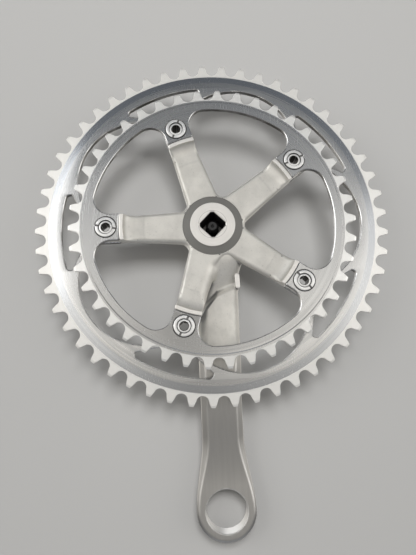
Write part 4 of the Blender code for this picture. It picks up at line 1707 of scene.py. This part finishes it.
class Sheet(Wiring):
    """The nodes of one material: its coordinates, shared positions and shader."""

    def __init__(self, name: str, effects: Effects) -> None:
        """Starts a material with a shader and the coordinates every pattern reads."""
        self.material = bpy.data.materials.new(name)
        self.material.use_nodes = True
        super().__init__(self.material.node_tree)
        self.effects = effects
        self.shader = self.tree.nodes["Principled BSDF"]
        self.at = self.place("ShaderNodeTexCoord").outputs["Object"]
        self.position = self.group(effects.axis, Vector=self.at).outputs

    def level(self) -> bpy.types.NodeSocket:
        """Height along Z, in metres."""
        return self.place("ShaderNodeSeparateXYZ", {0: self.at}).outputs[2]

    def stored(self, name: str) -> bpy.types.NodeSocket:
        """A number that the mesh stores for each point."""
        return self.place("ShaderNodeAttribute", attribute_name=name).outputs["Fac"]

    def turned_about(self, centre: Centre) -> tuple[bpy.types.NodeSocket, bpy.types.NodeSocket]:
        """Radius and angle about the crank axis, or about the nearest bolt."""
        radius, angle, _ = self.position
        if centre is Centre.CRANK:
            return radius, angle
        found = self.group(self.effects.bolt, Vector=self.at, Radius=radius, Angle=angle)
        return found.outputs["Radius"], found.outputs["Angle"]

    def set(self, **values: Feed) -> None:
        """Feeds the shader's sockets, named with _ for a space."""
        for name, value in values.items():
            self.feed(self.shader.inputs[name.replace("_", " ")], value)

    def bump(self, height: Feed, distance: float, strength: float) -> bpy.types.NodeSocket:
        """A bump of the given distance in millimetres."""
        feeds = {"Height": height, "Distance": distance * MM, "Strength": strength}
        return self.place("ShaderNodeBump", feeds).outputs[0]

    def radial_tangent(self) -> bpy.types.NodeSocket:
        """Direction across turned grooves: the part of the position square to the crank axis."""
        feeds = {0: self.at, 1: (1.0, 0.0, 1.0)}
        flat = self.place("ShaderNodeVectorMath", feeds, operation="MULTIPLY").outputs[0]
        return self.place("ShaderNodeVectorMath", {0: flat}, operation="NORMALIZE").outputs[0]


@dataclass(frozen=True)
class TurnedMetal:
    """Bright metal cut on a lathe."""

    name: str
    colour: Colour
    roughness: float
    anisotropy: float = 0.0
    centre: Centre = Centre.CRANK
    pitch: float = 0.22
    groove: float = 0.004
    groove_strength: float = 0.5
    tone_range: float = 0.10
    scratches: float = 0.35
    tints: tuple[Tint, ...] = ()

    def make(self, effects: Effects) -> bpy.types.Material:
        """Builds the material: tool marks, cloudy tone, scratches and tinted bands.

        Args:
            effects: the shared node groups.

        Returns:
            The material.
        """
        sheet = Sheet(self.name, effects)
        radius, angle = sheet.turned_about(self.centre)
        depth = sheet.position["Depth"]
        feeds = {"Radius": radius, "Angle": angle, "Depth": depth}
        marks = sheet.group(effects.turned, Vector=sheet.at, Pitch=self.pitch, **feeds).outputs
        worn = sheet.group(effects.scratches, Vector=sheet.at, Amount=self.scratches).outputs[0]
        dark = scaled(self.colour, 1 - self.tone_range * 2)
        colour = sheet.blend(marks["Tone"], dark, self.colour)
        roughness = sheet.varied(marks["Tone"], self.roughness * 1.2, self.roughness * 0.85)
        metallic: Feed = 1.0
        for tint in self.tints:
            band = sheet.band(radius, tint.start, tint.end, tint.soft)
            mask = sheet.math("MULTIPLY", band, tint.share)
            if tint.depths:
                mask = sheet.math("MULTIPLY", mask, sheet.band(depth, *tint.depths, 0.08))
            colour = sheet.blend(mask, colour, tint.colour)
            added = sheet.math("MULTIPLY", mask, tint.roughness)
            roughness = sheet.math("ADD", roughness, added)
            if tint.metallic < 1.0:
                metallic = sheet.math("MULTIPLY_ADD", mask, tint.metallic - 1.0, metallic)
        colour = sheet.blend(worn, colour, scaled(self.colour, 1.12))
        roughness = sheet.math("ADD", roughness, sheet.math("MULTIPLY", worn, 0.12))
        height = sheet.math("SUBTRACT", marks["Height"], sheet.math("MULTIPLY", worn, 1.5))
        normal = sheet.bump(height, self.groove, self.groove_strength)
        sheet.set(Base_Color=colour, Roughness=roughness, Metallic=metallic, Normal=normal)
        if self.anisotropy:
            sheet.set(Anisotropic=self.anisotropy, Tangent=sheet.radial_tangent())
        return sheet.material


@dataclass(frozen=True)
class ForgedMetal:
    """Forged aluminium: blasted on the spider, polished on the back and down the arm."""

    name: str = "forged_matte"
    colour: Colour = (0.78, 0.76, 0.71, 1.0)
    arm_colour: Colour = (0.60, 0.59, 0.57, 1.0)
    metallic: float = 0.75
    # Painted shade of recesses: the range of hollowness that darkens, how far, and the dark grey
    recess: tuple[float, float] = (0.10, 0.58)
    recess_shade_share: float = 0.85
    recess_shade_colour: Colour = (0.20, 0.20, 0.195, 1.0)
    pit_colour: Colour = (0.25, 0.24, 0.22, 1.0)
    roughness: float = 0.52
    arm_roughness: float = 0.36
    arm_start: tuple[float, float] = (-0.076, -0.090)

    def make(self, effects: Effects) -> bpy.types.Material:
        """Builds the material: grain on the spider that gives way to brushing on the arm.

        The mesh stores how far each point is polished and how deep it lies in a recess, where
        its colour is darkened towards a dark grey as painted shade.

        Args:
            effects: the shared node groups.

        Returns:
            The material.
        """
        sheet = Sheet(self.name, effects)
        grain = sheet.group(effects.blasted, Vector=sheet.at).outputs
        brushed = sheet.group(effects.brushed, Vector=sheet.at).outputs
        worn = sheet.group(effects.scratches, Vector=sheet.at, Amount=0.5).outputs[0]
        on_arm = sheet.ramp(sheet.level(), *self.arm_start)
        on_arm = sheet.math("MAXIMUM", on_arm, sheet.stored(POLISHED))
        dull = scaled(self.colour, 0.86)
        spider = sheet.blend(sheet.varied(grain["Tone"]), dull, self.colour)
        spider = sheet.blend(sheet.math("MULTIPLY", grain["Pits"], 0.25), spider, self.pit_colour)
        dim = scaled(self.arm_colour, 0.93)
        arm = sheet.blend(sheet.varied(brushed["Tone"]), dim, self.arm_colour)
        colour = sheet.blend(on_arm, spider, arm)
        # Painted shade: the deeper a point lies in a recess, the more its colour goes to a dark
        # grey
        recess = sheet.ramp(sheet.stored(HOLLOW), *self.recess, 0.0, self.recess_shade_share)
        colour = sheet.blend(recess, colour, self.recess_shade_colour)
        rough = sheet.varied(grain["Tone"], self.roughness + 0.05, self.roughness - 0.04)
        smooth = sheet.varied(brushed["Tone"], self.arm_roughness + 0.03, self.arm_roughness)
        roughness = sheet.ramp(on_arm, 0.0, 1.0, rough, smooth)
        roughness = sheet.math("ADD", roughness, sheet.math("MULTIPLY", worn, 0.08))
        coarse = sheet.math("MULTIPLY", grain["Height"], sheet.ramp(on_arm, 0.0, 1.0, 1.0, 0.15))
        fine = sheet.math("MULTIPLY", brushed["Height"], sheet.ramp(on_arm, 0.0, 1.0, 0.0, 0.35))
        normal = sheet.bump(sheet.math("ADD", coarse, fine), 0.03, 0.75)
        metallic = sheet.ramp(on_arm, 0.0, 1.0, self.metallic, 1.0)
        sheet.set(Base_Color=colour, Roughness=roughness, Metallic=metallic, Normal=normal)
        return sheet.material


@dataclass(frozen=True)
class CutMetal:
    """The bright cut faces of the crank: boss, band, ledges, socket, bores and pad."""

    name: str = "machined_bright"
    colour: Colour = (0.93, 0.905, 0.86, 1.0)
    band_colour: Colour = (0.27, 0.265, 0.25, 1.0)
    socket_colour: Colour = (0.012, 0.012, 0.012, 1.0)
    roughness: float = 0.45
    metallic: float = 0.75
    eye_drop: float = 0.120
    eye_colour: Colour = (0.62, 0.61, 0.59, 1.0)
    scribed: float = 8.8
    band: tuple[float, float] = (13.9, 18.7)
    band_end: tuple[float, float] = (3.2, 3.6)
    socket: tuple[float, float] = (9.6, 0.75)

    def make(self, effects: Effects) -> bpy.types.Material:
        """Builds the material: concentric marks, a darker band, a scribed line, a near-black
        socket.

        Args:
            effects: the shared node groups.

        Returns:
            The material.
        """
        sheet = Sheet(self.name, effects)
        radius, angle, depth = sheet.position
        feeds = {"Radius": radius, "Angle": angle, "Depth": depth}
        feeds |= {"Pitch": 0.3, "Wander": 1.0}
        marks = sheet.group(effects.turned, Vector=sheet.at, **feeds).outputs
        near_face = sheet.ramp(depth, *self.band_end, 1.0, 0.0)
        in_band = sheet.math("MULTIPLY", sheet.band(radius, *self.band, 0.1), near_face)
        inside = sheet.ramp(radius, self.socket[0] - 0.3, self.socket[0], 1.0, 0.0)
        inside = sheet.math("MULTIPLY", inside, sheet.ramp(depth, 0.3, self.socket[1]))
        colour = sheet.blend(marks["Tone"], scaled(self.colour, 0.86), self.colour)
        colour = sheet.blend(in_band, colour, self.band_colour)
        in_eye = sheet.ramp(sheet.level(), -self.eye_drop, -self.eye_drop - 0.01)
        colour = sheet.blend(in_eye, colour, self.eye_colour)
        scribed = sheet.band(radius, self.scribed - 0.12, self.scribed + 0.12, 0.06)
        colour = sheet.blend(sheet.math("MULTIPLY", scribed, 0.55), colour, self.band_colour)
        colour = sheet.blend(inside, colour, self.socket_colour)
        roughness = sheet.math("ADD", self.roughness, sheet.math("MULTIPLY", in_band, 0.3))
        roughness = sheet.math("ADD", roughness, sheet.math("MULTIPLY", inside, 0.2))
        metallic = sheet.math("MULTIPLY_ADD", inside, 0.3 - self.metallic, self.metallic)
        normal = sheet.bump(marks["Height"], 0.006, 0.6)
        sheet.set(Base_Color=colour, Roughness=roughness, Metallic=metallic, Normal=normal)
        return sheet.material


@dataclass(frozen=True)
class MilledWall:
    """The milled walls of the rings' windows, slots and holes, painted dark as shade and
    reflection, with grime.
    """

    name: str = "milled_wall"
    colour: Colour = (0.30, 0.295, 0.285, 1.0)
    shade_and_grime: Colour = (0.10, 0.095, 0.085, 1.0)
    roughness: float = 0.42

    def make(self, effects: Effects) -> bpy.types.Material:
        """Builds the material: cutter marks across the thickness under a dark painted shade with
        cloudy grime.

        Args:
            effects: the shared node groups.

        Returns:
            The material.
        """
        sheet = Sheet(self.name, effects)
        grain = sheet.group(effects.blasted, Vector=sheet.at).outputs
        marks = sheet.noise(sheet.stretched(sheet.at, (1.0, 0.03, 1.0)), 1400.0, 2.0)
        # Painted shade: the dark base colour and its darker cloudy patches stand in for the walls'
        # shade and dark reflection
        colour = sheet.blend(sheet.ramp(grain["Tone"], 0.35, 0.65), self.shade_and_grime, self.colour)
        roughness = sheet.varied(grain["Tone"], self.roughness + 0.12, self.roughness)
        height = sheet.math("MULTIPLY_ADD", grain["Height"], 0.3, marks)
        normal = sheet.bump(height, 0.012, 0.6)
        sheet.set(Base_Color=colour, Roughness=roughness, Metallic=1.0, Normal=normal)
        return sheet.material


@dataclass(frozen=True)
class MouldedNylon:
    """A thin moulded plastic washer."""

    name: str = "nylon_white"
    colour: Colour = (0.70, 0.69, 0.66, 1.0)
    roughness: float = 0.5

    def make(self, effects: Effects) -> bpy.types.Material:
        """Builds the material: faint cloud in the colour and a fine moulded grain."""
        sheet = Sheet(self.name, effects)
        grain = sheet.group(effects.blasted, Vector=sheet.at, Grain=3200.0).outputs
        colour = sheet.blend(grain["Tone"], scaled(self.colour, 0.85), self.colour)
        roughness = sheet.varied(grain["Tone"], self.roughness + 0.08, self.roughness)
        normal = sheet.bump(grain["Height"], 0.01, 0.4)
        sheet.set(Base_Color=colour, Roughness=roughness, Metallic=0.0, Normal=normal)
        return sheet.material


@dataclass(frozen=True)
class SoftLight:
    """A square soft light: its place in metres, its size, its power and whether metal shows it."""

    name: str
    at: tuple[float, float, float]
    size: float
    power: float
    in_metal: bool = True

    def hang(self, towards: Vector) -> None:
        """Hangs the light so that it faces a point."""
        data = bpy.data.lights.new(self.name, "AREA")
        data.shape = "SQUARE"
        data.size, data.energy = self.size, self.power
        lamp = linked(self.name, data)
        lamp.location = self.at
        lamp.visible_glossy = self.in_metal
        lamp.rotation_euler = (Vector(self.at) - towards).to_track_quat("Z", "Y").to_euler()


@dataclass(frozen=True)
class Stage:
    """The pale floor that the crankset lies on, the soft lights and the camera."""

    floor_depth: float = 28.6
    floor_half: float = 900.0
    floor_colour: Colour = (0.38, 0.376, 0.368, 1.0)
    eye: tuple[float, float, float] = (-0.01269, -0.28692, -0.08473)
    right: tuple[float, float, float] = (0.9985, -0.019, -0.0509)
    up: tuple[float, float, float] = (0.0467, -0.178, 0.9829)
    lens: float = 31.43
    room: tuple[tuple[float, Colour], ...] = (
        (0.0, (0.55, 0.57, 0.60, 1.0)),
        (1.0, (0.06, 0.065, 0.075, 1.0)),
        (0.20, (0.20, 0.20, 0.21, 1.0)),
        (0.34, (0.22, 0.215, 0.205, 1.0)),
        (0.50, (1.18, 1.14, 1.07, 1.0)),
        (0.62, (0.72, 0.71, 0.69, 1.0)),
        (0.74, (0.20, 0.215, 0.235, 1.0)),
    )
    flag: tuple[float, float] = (-0.03, 0.14)
    flag_reach: tuple[float, float] = (0.11, 0.28)
    flag_depth: float = 0.9
    side_dim: float = 0.6
    backdrop: Colour = (0.33, 0.33, 0.33, 1.0)
    middle: tuple[float, float, float] = (0.0, 0.01, -0.04)
    lights: tuple[SoftLight, ...] = (
        SoftLight("key", (0.1, -1.2, 0.45), 0.5, 13.0, in_metal=False),
        SoftLight("left_softbox", (-1.0, -0.85, 0.4), 0.9, 5.5),
        SoftLight("right_softbox", (1.1, -0.65, 0.0), 0.9, 2.5),
        SoftLight("back", (-0.3, 1.3, 0.7), 1.2, 7.0),
    )

    def floor_finish(self) -> bpy.types.Material:
        """A matte pale paper that is clear from behind, so that it hides nothing of the back."""
        material = bpy.data.materials.new("pale_floor")
        material.use_nodes = True
        wires = Wiring(material.node_tree)
        shader = wires.tree.nodes["Principled BSDF"]
        at = wires.place("ShaderNodeTexCoord").outputs["Object"]
        dull = scaled(self.floor_colour, 0.97)
        paper = wires.blend(wires.noise(at, 6.0, 3.0), dull, self.floor_colour)
        wires.feed(shader.inputs["Base Color"], paper)
        wires.feed(shader.inputs["Roughness"], 0.9)
        wires.feed(shader.inputs["Specular IOR Level"], 0.1)
        behind = wires.place("ShaderNodeNewGeometry").outputs["Backfacing"]
        clear = wires.place("ShaderNodeBsdfTransparent").outputs[0]
        mixed = wires.place("ShaderNodeMixShader", {0: behind, 1: shader.outputs[0], 2: clear})
        wires.feed(wires.tree.nodes["Material Output"].inputs[0], mixed.outputs[0])
        return material

    def lay_floor(self) -> None:
        """One square behind the crankset, facing the inner side."""
        plan = self.floor_half * np.array([(-1, -1), (1, -1), (1, 1), (-1, 1)])
        mesh = bpy.data.meshes.new("floor")
        corners = at_depths(plan, self.floor_depth) * MM
        mesh.from_pydata(corners.tolist(), [], [(0, 1, 2, 3)])
        mesh.materials.append(self.floor_finish())
        floor = linked("floor", mesh)
        floor.visible_shadow = False
        floor.visible_diffuse = False
        floor.visible_glossy = False
        floor.visible_transmission = False

    def set_world(self) -> None:
        """A pale room seen as bands of height, bright at the level of the lens and dim beyond.

        A dark upright flag hangs in front. Its shade falls off as a bell curve across and up.
        The room is dimmer to the sides, and the lens itself sees a plain backdrop.
        """
        world = bpy.data.worlds.new("soft_room")
        world.use_nodes = True
        bpy.context.scene.world = world
        wires = Wiring(world.node_tree)
        way = wires.place("ShaderNodeTexCoord").outputs["Generated"]
        across, deep, height = wires.place("ShaderNodeSeparateXYZ", {0: way}).outputs
        share = wires.math("MULTIPLY_ADD", height, 0.5, 0.5)
        ramp = wires.place("ShaderNodeValToRGB", {0: share})
        ramp.color_ramp.interpolation = "EASE"
        stops = ramp.color_ramp.elements
        for (at, colour), stop in zip(self.room, [stops[0], stops[1]]):
            stop.position, stop.color = at, colour
        for at, colour in self.room[2:]:
            stops.new(at).color = colour
        square: Feed = 0.0
        for value, middle, reach in zip((across, height), self.flag, self.flag_reach):
            off = wires.math("DIVIDE", wires.math("SUBTRACT", value, middle), reach)
            square = wires.math("MULTIPLY_ADD", off, off, square)
        shade = wires.math("EXPONENT", wires.math("MULTIPLY", square, -1.0))
        shade = wires.math("MULTIPLY", shade, wires.ramp(deep, 0.0, -0.3))
        facing = wires.ramp(wires.math("ABSOLUTE", deep), 0.15, 0.8, self.side_dim, 1.0)
        strength = wires.math("MULTIPLY_ADD", shade, -self.flag_depth, 1.0)
        strength = wires.math("MULTIPLY", strength, facing)
        seen = wires.place("ShaderNodeLightPath").outputs["Is Camera Ray"]
        background = wires.tree.nodes["Background"]
        wires.feed(background.inputs[0], wires.blend(seen, ramp.outputs[0], self.backdrop))
        wires.feed(background.inputs[1], wires.math("MAXIMUM", strength, seen))

    def set_camera(self) -> None:
        """A camera whose axes are the given right and up directions."""
        right, up = Vector(self.right).normalized(), Vector(self.up)
        back = right.cross(up).normalized()
        up = back.cross(right)
        data = bpy.data.cameras.new("camera")
        data.lens, data.sensor_width = self.lens, 36.0
        data.clip_start = 0.01
        camera = linked("camera", data)
        turn = Matrix((right, up, back)).transposed().to_4x4()
        camera.matrix_world = Matrix.Translation(self.eye) @ turn
        bpy.context.scene.camera = camera

    def build(self) -> None:
        """Lays the floor, sets the world and the lights, and places the camera."""
        self.lay_floor()
        self.set_world()
        for light in self.lights:
            light.hang(towards=Vector(self.middle))
        bpy.context.scene.view_settings.view_transform = "Standard"
        self.set_camera()


ALUMINIUM: Colour = (0.80, 0.80, 0.795, 1.0)
CHROME: Colour = (0.84, 0.84, 0.84, 1.0)
STEEL: Colour = (0.42, 0.41, 0.40, 1.0)
DARK_STEEL: Colour = (0.10, 0.10, 0.10, 1.0)

# Bands of the rings about the crank axis: their teeth, and the large ring's turned step as a
# painted reflection
TEETH = Tint(101.9, 112.0, 0.25, (0.90, 0.885, 0.85, 1.0), share=1.0, roughness=0.26, metallic=0.7)
# Painted reflection: the step's darker blue-grey stands in for the room that its tilted face
# reflects
STEP = Tint(97.4, 101.9, 0.3, (0.58, 0.60, 0.63, 1.0), share=0.8, roughness=-0.06)
SMALL_TEETH = Tint(
    80.6, 89.0, 0.3, (0.90, 0.89, 0.86, 1.0), share=0.9, roughness=0.16, metallic=0.7
)

# Bands of the ring fasteners about their own axes: face, darker driver slot, and the key hole near
# black as painted shade
FACE = Tint(2.8, 6.4, 0.1, (0.86, 0.855, 0.84, 1.0), share=0.8, roughness=0.10, metallic=0.65)
DRIVER_SLOT = Tint(
    3.9, 6.6, 0.1, (0.10, 0.095, 0.09, 1.0), share=0.85, roughness=0.3, depths=(-4.05, -2.2)
)
# Painted shade: the walls of the through key hole are coloured near black, as if deep in shadow
KEY_HOLE_SHADE = Tint(-1.0, 2.86, 0.08, (0.035, 0.03, 0.026, 1.0), share=1.0, roughness=0.35)

RING_METAL = TurnedMetal("turned_aluminium", ALUMINIUM, 0.27, anisotropy=0.6, tints=(STEP, TEETH))
SMALL_RING_METAL = TurnedMetal(
    "turned_aluminium_inner", ALUMINIUM, 0.25, anisotropy=0.6, tints=(SMALL_TEETH,)
)
FASTENER_CHROME = TurnedMetal(
    "polished_chrome",
    CHROME,
    0.24,
    centre=Centre.BOLT,
    pitch=0.35,
    groove=0.002,
    scratches=0.2,
    tints=(FACE, DRIVER_SLOT, KEY_HOLE_SHADE),
)
CAP_CHROME = TurnedMetal("cap_chrome_plate", CHROME, 0.2, groove=0.002, scratches=0.3)
GROUND_STEEL = TurnedMetal("ground_steel", STEEL, 0.34)
BLACKED_STEEL = TurnedMetal("blacked_steel", DARK_STEEL, 0.42, scratches=0.5)

STEEL_WASHER = FlatRing(
    name="steel_washer",
    node="crank_bolt_washer",
    slot_name="washer_steel",
    body="bolt_washer",
    inner=4.3,
    outer=9.05,
    face=17.3,
    back=18.8,
    corner=0.2,
)
NYLON_WASHER = FlatRing(
    name="nylon_washer",
    node="friction_washer",
    slot_name="nylon",
    body="crank",
    inner=6.5,
    outer=8.55,
    face=22.2,
    back=22.8,
    corner=0.1,
)
RELEASE_RING = PinnedRing(
    name="release_ring",
    node="release_cap",
    slot_name="cap_chrome",
    body="crank",
    inner=6.5,
    outer=10.85,
    face=23.1,
    back=25.9,
    corner=0.3,
)


def main() -> None:
    """Builds each sub-assembly in order with its finishes, then the stage."""
    logging.basicConfig(level=logging.INFO, format="%(name)s: %(message)s")
    effects = Effects()
    milled = MilledWall().make(effects)
    made = [
        CrankArm().build(ForgedMetal().make(effects), CutMetal().make(effects)),
        large_ring().build(RING_METAL.make(effects), milled),
        small_ring().build(SMALL_RING_METAL.make(effects), milled),
        *RingFasteners().build(FASTENER_CHROME.make(effects)),
        CrankBolt().build(BLACKED_STEEL.make(effects)),
        STEEL_WASHER.build(GROUND_STEEL.make(effects)),
        NYLON_WASHER.build(MouldedNylon().make(effects)),
        RELEASE_RING.build(CAP_CHROME.make(effects)),
    ]
    for piece in made:
        log.info("%s: %d vertices", piece.name, len(piece.data.vertices))
    Stage().build()
    bpy.context.view_layer.update()


if __name__ == "__main__":
    main()
